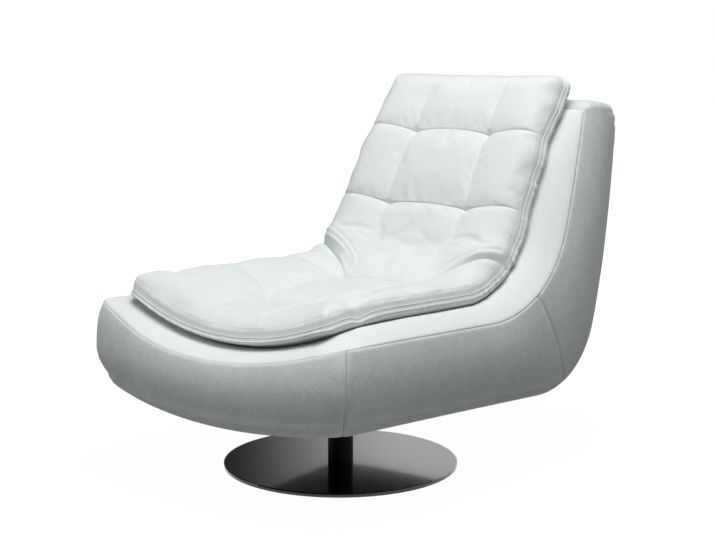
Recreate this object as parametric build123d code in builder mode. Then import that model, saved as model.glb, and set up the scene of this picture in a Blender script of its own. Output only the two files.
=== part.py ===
from build123d import *
import math
import os

os.makedirs("parts", exist_ok=True)

# Millimetres. The floor is at height zero, the swivel axis is the vertical through the origin,
# the chair faces the negative Y direction and the sitter's left is positive X.

# Base and column
DISC_DIAMETER = 500.0
DISC_THICKNESS = 8.0
FLOOR_PAD = 2.0
FLOOR_PAD_DIAMETER = 470.0
COLUMN_DIAMETER = 54.0
COLUMN_BORE = 48.0
COLUMN_TOP = 172.0
PLUG_HEIGHT = 9.0
FOOT_SCREW_DIAMETER = 6.0
FOOT_SCREW_HEAD = 11.0
FOOT_SCREW_CIRCLE = 30.0
FOOT_SCREW_COUNT = 3

# Swivel
SPINDLE_DIAMETER = 30.0
RUNNING_CLEARANCE = 0.05
FIXED_CLEARANCE = 0.05
BUSH_FLANGE = 3.0
LOWER_BUSH_BOTTOM = 34.0
LOWER_BUSH_TOP = 64.0
UPPER_BUSH_LENGTH = 40.0
RACE_THICKNESS = 5.0
RACE_BORE = 31.0
BALL_DIAMETER = 6.0
BALL_COUNT = 14
BALL_CIRCLE = 42.0
BALL_GROOVE_DEPTH = 1.5
CAGE_THICKNESS = 1.4
CAGE_OUTER = 50.0
CAGE_INNER = 34.0
CAGE_HOLE = 6.3
COLLAR_DIAMETER = 58.0
COLLAR_HEIGHT = 11.0
RING_THICKNESS = 1.9
RING_GROOVE_DEPTH = 1.2
RETAINER_THICKNESS = 2.7
RETAINER_DIAMETER = 44.0
PLATE_SIZE = 200.0
PLATE_THICKNESS = 6.0
PLATE_BOLT_SPACING = 150.0
BOLT_DIAMETER = 8.0
BOLT_HEAD = 14.0
BOLT_HEAD_HEIGHT = 4.5
WASHER_DIAMETER = 17.0
WASHER_THICKNESS = 1.6
TEE_FLANGE = 22.0
TEE_FLANGE_THICKNESS = 1.5
TEE_BARREL = 10.0
TEE_LENGTH = 11.0

# Side seam of the shell, seen from the side
SEAM_FRONT_Y = -350.0
SEAM_FRONT_Z = 349.5
SEAT_TILT = 2.0
SEAT_RUN = 440.0
BEND_RADIUS = 300.0
BACK_LEAN = 26.8
BACK_RUN = 281.0
TOP_FAN = 21.0

# Underside and outside back, seen from the side
UNDER_Z = 160.0
UNDER_TILT = 3.0
OUTER_CORNER_PAST_SEAT = 354.0
OUTER_CORNER_Y = SEAM_FRONT_Y + SEAT_RUN + OUTER_CORNER_PAST_SEAT
OUTER_CORNER_RADIUS = 208.0
REAR_LEAN = 19.2

# Shell across its width
SEAT_HALF_WIDTH = 334.0
TOP_NARROWING = 57.0
TOP_HALF_WIDTH = SEAT_HALF_WIDTH - TOP_NARROWING
TAPER_POWER = 1.5
SIDE_BULGE = 13.0
SIDE_TUCK = 4.0
BULGE_PLACE = 0.45
EDGE_RADIUS = 36.0
BACK_EDGE_RADIUS = 26.0
FRONT_BOW = 36.0
FRONT_DIP = 53.0
FRONT_START = 14.0
FRONT_BAND = 28.0
FRONT_CROWN = 22.0
SEAT_CROWN = 12.0
BACK_CROWN = 9.0
TOP_CROWN = 8.0
FRONT_TOP_ROUND = 10.0
FRONT_UNDER_ROUND = 34.0
FRONT_CORNER_DROP = 55.0
FRONT_CORNER_LIFT = 25.0
FRONT_CORNER_POWER = 1.6
FRONT_CORNER_DRAW = 0.5
TOP_BAND = 20.0
TOP_ROUND = 15.0
COVER = 3.0
UNDER_PAD = 18.0
DUST_COVER = 2.0
DUST_HOLE = 76.0
SOFT_GAP = 0.5
SHOULDER_RISE = 0.62
SHOULDER_PLACE = 0.3
SHOULDER_WIDTH = 12.0
SEAT_FOAM = 75.0
BACK_FOAM = 40.0

# Frame
FRAME_HALF = 222.0
PLY = 18.0
REAR_RAIL_PAST_BEND = 41.0
LUMBAR_RAIL_PAST_BEND = 43.0
TOP_RAIL_INSET = 32.0
BOARD_LENGTH = 290.0
BOARD_SCREW_SPACING = 200.0
RAIL_SCREW = 5.0
RAIL_SCREW_HEAD = 9.0
RAIL_SCREW_LENGTH = 50.0
WIRE = 3.6
SPRING_DEPTH = 79.0
SPRING_WAVE = 24.0
CLIP_HEIGHT = 9.5
CLIP_DEPTH = 13.0
SPRING_PITCH = 40.0
SPRING_COUNT = 4
SPRING_SPACING = 104.0
STRAP_WIDTH = 60.0
STRAP_THICKNESS = 1.6
STRAP_COUNT = 4
STRAP_SPACING = 72.0

# Loose tufted pad
DECK_STRIP = 66.0
TOP_STRIP = 28.0
PAD_HALF = SEAT_HALF_WIDTH - DECK_STRIP
PAD_TOP_HALF = TOP_HALF_WIDTH - TOP_STRIP
PAD_FRONT = FRONT_START + 2.0
PAD_OVERHANG = 52.0
PAD_BOXING = 38.0
BOXING_BULGE = 5.0
PAD_FRONT_CORNER = 34.0
PAD_TOP_CORNER = 46.0
PAD_DRAW_IN = 6.0
TUFT_COLUMN = 108.0
TUFT_REMAIN = 26.0
ROW_REMAIN = 44.0
COLUMN_REMAIN = 56.0
PUFF = 76.0
SIDE_PUFF = 66.0
SIDE_PLACE = 0.7
ROW_SIDE_DROP = 6.0
ROW_EDGE_DROP = 4.0
PAD_TUCK = 2.0
FIRST_ROW = 236.0
SECOND_ROW = 522.0
THIRD_ROW_FROM_BEND = -9.0
FOURTH_ROW_FROM_BEND = 175.0

# Derived lengths along the seam
BEND_STEP_COUNT = 6
BACK_STEP_COUNT = 4
BEND_ANGLE = math.radians(90.0 - BACK_LEAN + SEAT_TILT)
BEND_END = SEAT_RUN + BEND_RADIUS * BEND_ANGLE
TOP_END = BEND_END + BACK_RUN
TILT = math.radians(SEAT_TILT)
BEND_MID = (SEAT_RUN + BEND_END) / 2
BACK_MID = BEND_END + 0.62 * BACK_RUN
PAD_END = TOP_END + PAD_OVERHANG
FRONT_RISE_END = 75.0
SEAT_PLACES = [FRONT_START, FRONT_RISE_END, 190.0, 320.0, SEAT_RUN]
BEND_STEP = (BEND_END - SEAT_RUN) / BEND_STEP_COUNT
BACK_STEP = BACK_RUN / BACK_STEP_COUNT
STATIONS = SEAT_PLACES + [SEAT_RUN + BEND_STEP * step for step in range(1, BEND_STEP_COUNT + 1)]
STATIONS += [BEND_END + BACK_STEP * step for step in range(1, BACK_STEP_COUNT + 1)]
UNDER_SPLIT_COUNT = 6
FOAM_SPLIT_COUNT = 7


def blend(p, keys):
    """Value at seam length p on straight runs between the given pairs."""
    if p <= keys[0][0]:
        return keys[0][1]
    for (p0, v0), (p1, v1) in zip(keys, keys[1:]):
        if p <= p1:
            return v0 + (v1 - v0) * (p - p0) / (p1 - p0)
    return keys[-1][1]


def seam_point(p):
    """Side seam at length p from the front: Y, Z and slope."""
    bend_y = SEAM_FRONT_Y + SEAT_RUN * math.cos(TILT)
    bend_z = SEAM_FRONT_Z - SEAT_RUN * math.sin(TILT)
    centre_y = bend_y + BEND_RADIUS * math.sin(TILT)
    centre_z = bend_z + BEND_RADIUS * math.cos(TILT)
    if p <= SEAT_RUN:
        run = p - SEAT_RUN
        return bend_y + run * math.cos(TILT), bend_z - run * math.sin(TILT), -TILT
    slope = min(p - SEAT_RUN, BEND_RADIUS * BEND_ANGLE) / BEND_RADIUS - TILT
    run = max(0.0, p - BEND_END)
    y = centre_y + BEND_RADIUS * math.sin(slope) + run * math.cos(slope)
    z = centre_z - BEND_RADIUS * math.cos(slope) + run * math.sin(slope)
    return y, z, slope


def inward(p, fan=True):
    """Direction from the seam into the shell in the side view."""
    slope = seam_point(p)[2]
    if fan and p > BEND_END:
        slope += math.radians(TOP_FAN) * (p - BEND_END) / BACK_RUN
    return math.sin(slope), -math.cos(slope)


def station(p, fan=True):
    """Section plane at seam length p: local X across, local Y out of the shell."""
    y, z, slope = seam_point(p)
    in_y, in_z = inward(p, fan)
    return Plane(origin=(0, y, z), x_dir=(1, 0, 0), z_dir=(0, in_z, -in_y))


def side_point(p, out, fan=True):
    """Point of the side view at seam length p and distance out of the seam."""
    y, z, slope = seam_point(p)
    in_y, in_z = inward(p, fan)
    return y - out * in_y, z - out * in_z


def depth(p):
    """Distance from the seam through the shell to the underside or outside back."""
    y, z, slope = seam_point(p)
    dy, dz = inward(p)
    fall = math.tan(math.radians(UNDER_TILT))
    lean = math.tan(math.radians(REAR_LEAN))
    corner_z = UNDER_Z - fall * OUTER_CORNER_Y
    turn = math.radians(90.0 - REAR_LEAN + UNDER_TILT)
    reach = OUTER_CORNER_RADIUS * math.tan(turn / 2)
    under_y = OUTER_CORNER_Y - reach * math.cos(math.radians(UNDER_TILT))
    rear_z = corner_z + reach * math.cos(math.radians(REAR_LEAN))
    centre_y = under_y + OUTER_CORNER_RADIUS * math.sin(math.radians(UNDER_TILT))
    centre_z = UNDER_Z - fall * under_y + OUTER_CORNER_RADIUS * math.cos(math.radians(UNDER_TILT))
    to_under = (UNDER_Z - fall * y - z) / (dz + fall * dy)
    if to_under > 0 and y + to_under * dy <= under_y:
        return to_under
    to_rear = (OUTER_CORNER_Y + (z - corner_z) * lean - y) / (dy - lean * dz)
    if to_rear > 0 and z + to_rear * dz >= rear_z:
        return to_rear
    along = (y - centre_y) * dy + (z - centre_z) * dz
    apart = (y - centre_y) ** 2 + (z - centre_z) ** 2
    return -along + math.sqrt(along ** 2 - apart + OUTER_CORNER_RADIUS ** 2)


def half_width(p):
    """Half width of the shell at the side seam."""
    part_way = max(0.0, p - BEND_MID) / (TOP_END - BEND_MID)
    return SEAT_HALF_WIDTH - TOP_NARROWING * part_way ** TAPER_POWER


def edge_radius(p):
    """Radius of the rounded outer edge, smaller up the back."""
    return blend(p, [(SEAT_RUN, EDGE_RADIUS), (BEND_END, BACK_EDGE_RADIUS)])


def rest_half(p):
    """Half width at which the pad's edge rests on the deck."""
    return blend(p, [(SEAT_RUN, PAD_HALF), (TOP_END, PAD_TOP_HALF)])


def rim(p):
    """Height of the padded rim above the side seam."""
    seat = [(FRONT_START, 4), (FRONT_RISE_END, 20), (190, 25), (SEAT_RUN, 27)]
    return blend(p, seat + [(BEND_MID, 32), (BEND_END, 36), (BACK_MID, 30), (TOP_END, 9)])


def dish(p):
    """Height of the middle of the deck above the side seam."""
    seat = [(FRONT_START, -FRONT_DIP), (FRONT_RISE_END, -38), (190, -28), (SEAT_RUN, -12)]
    return blend(p, seat + [(BEND_MID, 12), (BEND_END, 34), (BACK_MID, 26), (TOP_END, 8)])


def foam_depth(p):
    """Depth of the flat underside of the deck foam below the side seam."""
    return blend(p, [(SEAT_RUN, SEAT_FOAM), (BEND_END, BACK_FOAM)])


def under_crown(p):
    """Crown of the underside and outside back."""
    front = [(FRONT_START, FRONT_CROWN), (SEAT_RUN, SEAT_CROWN)]
    return blend(p, front + [(BEND_END, BACK_CROWN), (TOP_END, TOP_CROWN)])


def deck_height(p, x):
    """Height of the deck above the side seam at distance x from the middle."""
    return dish(p) + (rim(p) - dish(p)) * (x / rest_half(p)) ** 2


def deck_arcs(p, lift, trim):
    """Three arcs of the deck from the left seam to the right seam."""
    w = half_width(p) - trim
    xr = min(rest_half(p), w - SHOULDER_WIDTH)
    r = rim(p) + lift
    shoulder = w - SHOULDER_PLACE * (w - xr)
    rise = lift + rim(p) * SHOULDER_RISE
    ThreePointArc((-w, lift), (-shoulder, rise), (-xr, r))
    ThreePointArc((-xr, r), (0, dish(p) + lift), (xr, r))
    ThreePointArc((xr, r), (shoulder, rise), (w, lift))


def side_arcs(p, side, drop, inset=0.0):
    """Outer side of the shell from the seam to the underside, on one side."""
    w, t = half_width(p) - inset, depth(p)
    low, radius = w - SIDE_TUCK, edge_radius(p) - inset
    turn = radius * (1 - math.sqrt(0.5))
    bulge = (side * (w + SIDE_BULGE), -BULGE_PLACE * t)
    under = inset - t
    ThreePointArc((side * w, -drop), bulge, (side * low, under + radius))
    ThreePointArc(
        (side * low, under + radius),
        (side * (low - turn), under + turn),
        (side * (low - radius), under),
    )


def under_half(p):
    """Half width of the underside panel between the rounded edges."""
    return half_width(p) - SIDE_TUCK - edge_radius(p)


# Base disc with a softened rim and countersunk screw holes from below
with BuildPart() as base_disc:
    with BuildSketch(Plane.XY.offset(FLOOR_PAD)):
        Circle(DISC_DIAMETER / 2)
    extrude(amount=DISC_THICKNESS)
    fillet(base_disc.edges().group_by(Axis.Z)[-1], 2.0)
    chamfer(base_disc.edges().group_by(Axis.Z)[0], 1.0)
    with Locations(Plane(origin=(0, 0, FLOOR_PAD), x_dir=(1, 0, 0), z_dir=(0, 0, -1))):
        with PolarLocations(FOOT_SCREW_CIRCLE / 2, FOOT_SCREW_COUNT):
            CounterSinkHole(FOOT_SCREW_DIAMETER / 2 + 0.2, FOOT_SCREW_HEAD / 2 + 0.2, DISC_THICKNESS, 90)

with BuildPart() as floor_pad:
    with BuildSketch():
        Circle(FLOOR_PAD_DIAMETER / 2)
    extrude(amount=FLOOR_PAD)

DISC_TOP = FLOOR_PAD + DISC_THICKNESS

with BuildPart() as column_tube:
    with BuildSketch(Plane.XY.offset(DISC_TOP)):
        Circle(COLUMN_DIAMETER / 2)
        Circle(COLUMN_BORE / 2, mode=Mode.SUBTRACT)
    extrude(amount=COLUMN_TOP - DISC_TOP)

with BuildPart() as foot_plug:
    with BuildSketch(Plane.XY.offset(DISC_TOP)):
        Circle(COLUMN_BORE / 2 - FIXED_CLEARANCE)
        with PolarLocations(FOOT_SCREW_CIRCLE / 2, FOOT_SCREW_COUNT):
            Circle(FOOT_SCREW_DIAMETER / 2 + FIXED_CLEARANCE, mode=Mode.SUBTRACT)
    extrude(amount=PLUG_HEIGHT)

# Countersunk screws that hold the column to the disc
with BuildPart() as foot_screws:
    head_depth = (FOOT_SCREW_HEAD - FOOT_SCREW_DIAMETER) / 2
    with BuildSketch(Plane.XZ):
        with BuildLine():
            Polyline(
                (0, FLOOR_PAD + 0.1),
                (FOOT_SCREW_HEAD / 2, FLOOR_PAD + 0.1),
                (FOOT_SCREW_DIAMETER / 2, FLOOR_PAD + 0.1 + head_depth),
                (FOOT_SCREW_DIAMETER / 2, DISC_TOP + PLUG_HEIGHT - 1),
                (0, DISC_TOP + PLUG_HEIGHT - 1),
                close=True,
            )
        make_face()
    revolve(axis=Axis.Z)
screw_spots = PolarLocations(FOOT_SCREW_CIRCLE / 2, FOOT_SCREW_COUNT).locations
foot_screw_set = Compound([foot_screws.part.solid().moved(spot) for spot in screw_spots])

# Bushes, thrust bearing and spindle
with BuildPart() as lower_bush:
    with BuildSketch(Plane.XY.offset(LOWER_BUSH_BOTTOM)):
        Circle(COLUMN_BORE / 2 - FIXED_CLEARANCE)
        Circle(SPINDLE_DIAMETER / 2 + RUNNING_CLEARANCE, mode=Mode.SUBTRACT)
    extrude(amount=LOWER_BUSH_TOP - LOWER_BUSH_BOTTOM)

with BuildPart() as upper_bush:
    with BuildSketch(Plane.XY.offset(COLUMN_TOP - UPPER_BUSH_LENGTH)):
        Circle(COLUMN_BORE / 2 - FIXED_CLEARANCE)
        Circle(SPINDLE_DIAMETER / 2 + RUNNING_CLEARANCE, mode=Mode.SUBTRACT)
    extrude(amount=UPPER_BUSH_LENGTH)
    with BuildSketch(Plane.XY.offset(COLUMN_TOP)):
        Circle(COLUMN_DIAMETER / 2)
        Circle(SPINDLE_DIAMETER / 2 + RUNNING_CLEARANCE, mode=Mode.SUBTRACT)
    extrude(amount=BUSH_FLANGE)

RACE_BOTTOM = COLUMN_TOP + BUSH_FLANGE
BALL_Z = RACE_BOTTOM + RACE_THICKNESS - BALL_GROOVE_DEPTH + BALL_DIAMETER / 2 + RUNNING_CLEARANCE
UPPER_RACE = BALL_Z + BALL_DIAMETER / 2 - BALL_GROOVE_DEPTH + RUNNING_CLEARANCE
GROOVE_RADIUS = BALL_DIAMETER / 2 + RUNNING_CLEARANCE

with BuildPart() as lower_race:
    with BuildSketch(Plane.XY.offset(RACE_BOTTOM)):
        Circle(COLUMN_DIAMETER / 2)
        Circle(RACE_BORE / 2, mode=Mode.SUBTRACT)
    extrude(amount=RACE_THICKNESS)
    with Locations((0, 0, BALL_Z)):
        Torus(BALL_CIRCLE / 2, GROOVE_RADIUS, mode=Mode.SUBTRACT)

with BuildPart() as upper_race:
    with BuildSketch(Plane.XY.offset(UPPER_RACE)):
        Circle(COLUMN_DIAMETER / 2)
        Circle(SPINDLE_DIAMETER / 2 + FIXED_CLEARANCE, mode=Mode.SUBTRACT)
    extrude(amount=RACE_THICKNESS)
    with Locations((0, 0, BALL_Z)):
        Torus(BALL_CIRCLE / 2, GROOVE_RADIUS, mode=Mode.SUBTRACT)

ball_spots = PolarLocations(BALL_CIRCLE / 2, BALL_COUNT).locations

with BuildPart() as ball_cage:
    with BuildSketch(Plane.XY.offset(BALL_Z - CAGE_THICKNESS / 2)):
        Circle(CAGE_OUTER / 2)
        Circle(CAGE_INNER / 2, mode=Mode.SUBTRACT)
        with PolarLocations(BALL_CIRCLE / 2, BALL_COUNT):
            Circle(CAGE_HOLE / 2, mode=Mode.SUBTRACT)
    extrude(amount=CAGE_THICKNESS)

with BuildPart() as ball:
    with Locations((0, 0, BALL_Z)):
        Sphere(BALL_DIAMETER / 2)
bearing_balls = Compound([ball.part.solid().moved(spot) for spot in ball_spots])

COLLAR_BOTTOM = UPPER_RACE + RACE_THICKNESS
PLATE_BOTTOM = COLLAR_BOTTOM + COLLAR_HEIGHT
BOARD_BOTTOM = PLATE_BOTTOM + PLATE_THICKNESS
BOARD_TOP = BOARD_BOTTOM + PLY
RETAINER_TOP = LOWER_BUSH_BOTTOM - 0.3
RING_TOP = RETAINER_TOP - RETAINER_THICKNESS
SPINDLE_END = RING_TOP - RING_THICKNESS - 4.0

with BuildPart() as spindle:
    with BuildSketch(Plane.XY.offset(SPINDLE_END)):
        Circle(SPINDLE_DIAMETER / 2)
    extrude(amount=BOARD_BOTTOM - SPINDLE_END)
    chamfer(spindle.edges().group_by(Axis.Z)[0], 1.0)
    with BuildSketch(Plane.XY.offset(RING_TOP - RING_THICKNESS - FIXED_CLEARANCE)):
        Circle(SPINDLE_DIAMETER / 2 + 1)
        Circle(SPINDLE_DIAMETER / 2 - RING_GROOVE_DEPTH, mode=Mode.SUBTRACT)
    extrude(amount=RING_THICKNESS + 2 * FIXED_CLEARANCE, mode=Mode.SUBTRACT)

with BuildPart() as retaining_washer:
    with BuildSketch(Plane.XY.offset(RING_TOP)):
        Circle(RETAINER_DIAMETER / 2)
        Circle(SPINDLE_DIAMETER / 2 + FIXED_CLEARANCE, mode=Mode.SUBTRACT)
    extrude(amount=RETAINER_THICKNESS)

# Open spring ring in the spindle groove
with BuildPart() as retaining_ring:
    with BuildSketch(Plane.XY.offset(RING_TOP - RING_THICKNESS)):
        Circle(SPINDLE_DIAMETER / 2 + 3.2)
        Circle(SPINDLE_DIAMETER / 2 - RING_GROOVE_DEPTH + FIXED_CLEARANCE, mode=Mode.SUBTRACT)
        with Locations((0, -SPINDLE_DIAMETER / 2)):
            Rectangle(9, 12, mode=Mode.SUBTRACT)
    extrude(amount=RING_THICKNESS)

with BuildPart() as spindle_collar:
    with BuildSketch(Plane.XY.offset(COLLAR_BOTTOM)):
        Circle(COLLAR_DIAMETER / 2)
        Circle(SPINDLE_DIAMETER / 2 + FIXED_CLEARANCE, mode=Mode.SUBTRACT)
    extrude(amount=COLLAR_HEIGHT)
    chamfer(spindle_collar.faces().sort_by(Axis.Z)[0].outer_wire().edges(), 2.0)

with BuildPart() as swivel_plate:
    with BuildSketch(Plane.XY.offset(PLATE_BOTTOM)):
        RectangleRounded(PLATE_SIZE, PLATE_SIZE, 22)
        Circle(SPINDLE_DIAMETER / 2 + FIXED_CLEARANCE, mode=Mode.SUBTRACT)
        with GridLocations(PLATE_BOLT_SPACING, PLATE_BOLT_SPACING, 2, 2):
            Circle(BOLT_DIAMETER / 2 + 0.3, mode=Mode.SUBTRACT)
    extrude(amount=PLATE_THICKNESS)

# Button-head bolts, washers and tee nuts of the swivel plate
bolt_spots = GridLocations(PLATE_BOLT_SPACING, PLATE_BOLT_SPACING, 2, 2).locations
with BuildPart() as plate_bolt:
    with BuildSketch(Plane.XY.offset(PLATE_BOTTOM - WASHER_THICKNESS - BOLT_HEAD_HEIGHT)):
        Circle(BOLT_HEAD / 2)
    extrude(amount=BOLT_HEAD_HEIGHT)
    fillet(plate_bolt.edges().group_by(Axis.Z)[0], 2.0)
    with BuildSketch(Plane.XY.offset(PLATE_BOTTOM - WASHER_THICKNESS - BOLT_HEAD_HEIGHT)):
        RegularPolygon(3, 6)
    extrude(amount=2.5, mode=Mode.SUBTRACT)
    with BuildSketch(Plane.XY.offset(PLATE_BOTTOM - WASHER_THICKNESS)):
        Circle(BOLT_DIAMETER / 2)
    extrude(amount=WASHER_THICKNESS + PLATE_THICKNESS + PLY + 1.5)
plate_bolts = Compound([plate_bolt.part.solid().moved(spot) for spot in bolt_spots])

with BuildPart() as plate_washer:
    with BuildSketch(Plane.XY.offset(PLATE_BOTTOM - WASHER_THICKNESS)):
        Circle(WASHER_DIAMETER / 2)
        Circle(BOLT_DIAMETER / 2 + 0.2, mode=Mode.SUBTRACT)
    extrude(amount=WASHER_THICKNESS)
plate_washers = Compound([plate_washer.part.solid().moved(spot) for spot in bolt_spots])

with BuildPart() as tee_nut:
    with BuildSketch(Plane.XY.offset(BOARD_TOP)):
        Circle(TEE_FLANGE / 2)
        Circle(BOLT_DIAMETER / 2 + FIXED_CLEARANCE, mode=Mode.SUBTRACT)
    extrude(amount=TEE_FLANGE_THICKNESS)
    with BuildSketch(Plane.XY.offset(BOARD_TOP)):
        Circle(TEE_BARREL / 2)
        Circle(BOLT_DIAMETER / 2 + FIXED_CLEARANCE, mode=Mode.SUBTRACT)
    extrude(amount=-TEE_LENGTH)
tee_nuts = Compound([tee_nut.part.solid().moved(spot) for spot in bolt_spots])

# Plywood frame: rails are drawn as section plates between the two side panels
RAIL_SPAN = 2 * (FRAME_HALF - PLY)


def rail_on(plane, centre_out, height):
    """Plywood rail across the frame, standing in a section plane."""
    with BuildPart() as rail:
        with BuildSketch(plane):
            with Locations((0, centre_out)):
                Rectangle(RAIL_SPAN, height)
        extrude(amount=PLY / 2, both=True)
    return rail.part


# Place along the seam, distance out of it and height of each rail
FRONT_RAIL_AT = (FRONT_START + PLY, -122.0, 74.0)
SPRING_RAIL_AT = (SEAT_RUN, -96.0, 22.0)
REAR_RAIL_AT = (BEND_MID + REAR_RAIL_PAST_BEND, -128.0, 96.0)
LUMBAR_RAIL_AT = (BEND_END + LUMBAR_RAIL_PAST_BEND, -78.0, 56.0)
TOP_RAIL_AT = (TOP_END - TOP_RAIL_INSET, -78.0, 56.0)
RAILS = (FRONT_RAIL_AT, SPRING_RAIL_AT, REAR_RAIL_AT, LUMBAR_RAIL_AT, TOP_RAIL_AT)

with BuildPart() as seat_board:
    with BuildSketch(Plane.XY.offset(BOARD_BOTTOM)):
        Rectangle(RAIL_SPAN, BOARD_LENGTH)
        with GridLocations(PLATE_BOLT_SPACING, PLATE_BOLT_SPACING, 2, 2):
            Circle(BOLT_DIAMETER / 2 + 0.3, mode=Mode.SUBTRACT)
    extrude(amount=PLY)
    with BuildSketch(Plane.XY.offset(BOARD_TOP)):
        with GridLocations(PLATE_BOLT_SPACING, PLATE_BOLT_SPACING, 2, 2):
            Circle(TEE_BARREL / 2 + FIXED_CLEARANCE)
    extrude(amount=-TEE_LENGTH, mode=Mode.SUBTRACT)

# Screw points in the side view: two per rail end and two per board end
BOARD_MIDDLE = BOARD_BOTTOM + PLY / 2
SCREW_PLACE = 0.28
SCREW_POINTS = [(side * BOARD_SCREW_SPACING / 2, BOARD_MIDDLE) for side in (-1, 1)]
for rail_p, rail_out, rail_height in RAILS:
    SCREW_POINTS.append(side_point(rail_p, rail_out + SCREW_PLACE * rail_height, False))
    SCREW_POINTS.append(side_point(rail_p, rail_out - SCREW_PLACE * rail_height, False))

with BuildPart() as screw_holes:
    with BuildSketch(Plane.YZ):
        with Locations(*SCREW_POINTS):
            Circle(RAIL_SCREW / 2 + FIXED_CLEARANCE)
    extrude(amount=FRAME_HALF + 5, both=True)
    with BuildSketch(Plane.YZ):
        with Locations(*SCREW_POINTS):
            Circle(RAIL_SCREW / 2 + 2)
    extrude(amount=FRAME_HALF - RAIL_SCREW_LENGTH - 1, both=True, mode=Mode.SUBTRACT)

with BuildPart() as rail_screw:
    head = (RAIL_SCREW_HEAD - RAIL_SCREW) / 2
    with BuildSketch(Plane.XY):
        with BuildLine():
            Polyline(
                (FRAME_HALF - 0.2, 0),
                (FRAME_HALF - 0.2, RAIL_SCREW_HEAD / 2),
                (FRAME_HALF - 0.2 - head, RAIL_SCREW / 2),
                (FRAME_HALF - RAIL_SCREW_LENGTH + 4, RAIL_SCREW / 2),
                (FRAME_HALF - RAIL_SCREW_LENGTH, 0.4),
                (FRAME_HALF - RAIL_SCREW_LENGTH, 0),
                close=True,
            )
        make_face()
    revolve(axis=Axis.X)
left_screws = [rail_screw.part.solid().moved(Location((0, y, z))) for y, z in SCREW_POINTS]
right_screws = [screw.mirror(Plane.YZ) for screw in left_screws]
rail_screws = Compound(left_screws + right_screws)

seat_board_part = seat_board.part - screw_holes.part
front_rail = rail_on(station(FRONT_RAIL_AT[0], False), *FRONT_RAIL_AT[1:]) - screw_holes.part
spring_rail = rail_on(station(SPRING_RAIL_AT[0], False), *SPRING_RAIL_AT[1:]) - screw_holes.part
rear_rail = rail_on(station(REAR_RAIL_AT[0], False), *REAR_RAIL_AT[1:]) - screw_holes.part
lumbar_rail = rail_on(station(LUMBAR_RAIL_AT[0], False), *LUMBAR_RAIL_AT[1:]) - screw_holes.part
top_rail = rail_on(station(TOP_RAIL_AT[0], False), *TOP_RAIL_AT[1:]) - screw_holes.part

# One L-shaped plywood side panel with two lightening slots
PANEL_FRONT = FRONT_START + 4.0
PANEL_TOP = TOP_END - 16.0
EDGE_STEP = 2.0
PANEL_INSET = UNDER_PAD + 5.0
SEAT_SLOT = (230.0, 26.0)
BACK_SLOT = (120.0, 40.0)
PANEL_PLACES = [p for p in reversed(STATIONS) if PANEL_FRONT < p < PANEL_TOP]
OUTER_STEPS = [PANEL_TOP] + PANEL_PLACES + [PANEL_FRONT]
with BuildPart() as frame_side:
    with BuildSketch(Plane.YZ.offset(FRAME_HALF - PLY)):
        with BuildLine():
            inner = [side_point(p, -foam_depth(p) - EDGE_STEP) for p in (PANEL_FRONT, SEAT_RUN)]
            mid = STATIONS[FOAM_SPLIT_COUNT]
            bend = side_point(mid, -foam_depth(mid) - EDGE_STEP - 1)
            upper = [side_point(p, -foam_depth(p) - EDGE_STEP, False) for p in (BEND_END, PANEL_TOP)]
            outer = [side_point(p, PANEL_INSET - depth(p)) for p in OUTER_STEPS]
            Line(inner[0], inner[1])
            ThreePointArc(inner[1], bend, upper[0])
            Line(upper[0], upper[1])
            Line(upper[1], outer[0])
            Polyline(*outer)
            Line(outer[-1], inner[0])
        make_face()
        with Locations(side_point(SEAT_RUN / 2 + 30, FRONT_RAIL_AT[1])):
            SlotOverall(*SEAT_SLOT, rotation=-SEAT_TILT, mode=Mode.SUBTRACT)
        with Locations(side_point((LUMBAR_RAIL_AT[0] + TOP_RAIL_AT[0]) / 2, LUMBAR_RAIL_AT[1] - 6)):
            SlotOverall(*BACK_SLOT, rotation=90 - BACK_LEAN, mode=Mode.SUBTRACT)
    extrude(amount=PLY)
    add(screw_holes.part, mode=Mode.SUBTRACT)
    with BuildSketch(Plane.YZ.offset(FRAME_HALF)):
        with Locations(*SCREW_POINTS):
            Circle(RAIL_SCREW_HEAD / 2 + 0.3)
    extrude(amount=-head - 0.6, mode=Mode.SUBTRACT)
frame_side_left = frame_side.part
frame_side_right = frame_side.part.mirror(Plane.YZ)

# Serpentine seat springs on the front rail and the spring rail
spring_first = FRONT_RAIL_AT[0]
spring_last = SPRING_RAIL_AT[0]
spring_plane = Plane(
    origin=(0, *side_point(spring_first, -SPRING_DEPTH)),
    x_dir=(0, math.cos(TILT), -math.sin(TILT)),
    z_dir=(0, math.sin(TILT), math.cos(TILT)),
)
waves = int((spring_last - spring_first) / (SPRING_PITCH / 2))
spring_step = (spring_last - spring_first) / waves
corners = []
for wave in range(waves + 1):
    swing = SPRING_WAVE if wave % 2 else -SPRING_WAVE
    corners += [(wave * spring_step, -swing), (wave * spring_step, swing)]
with BuildPart() as seat_spring:
    with BuildLine(spring_plane) as spring_line:
        FilletPolyline(*corners, radius=spring_step / 2 - 0.6)
    with BuildSketch(Plane(spring_line.line @ 0, z_dir=spring_line.line % 0)):
        Circle(WIRE / 2)
    sweep()
spring_rows = [(i - (SPRING_COUNT - 1) / 2) * SPRING_SPACING for i in range(SPRING_COUNT)]
seat_springs = Compound([seat_spring.part.solid().moved(Location((x, 0, 0))) for x in spring_rows])

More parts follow.
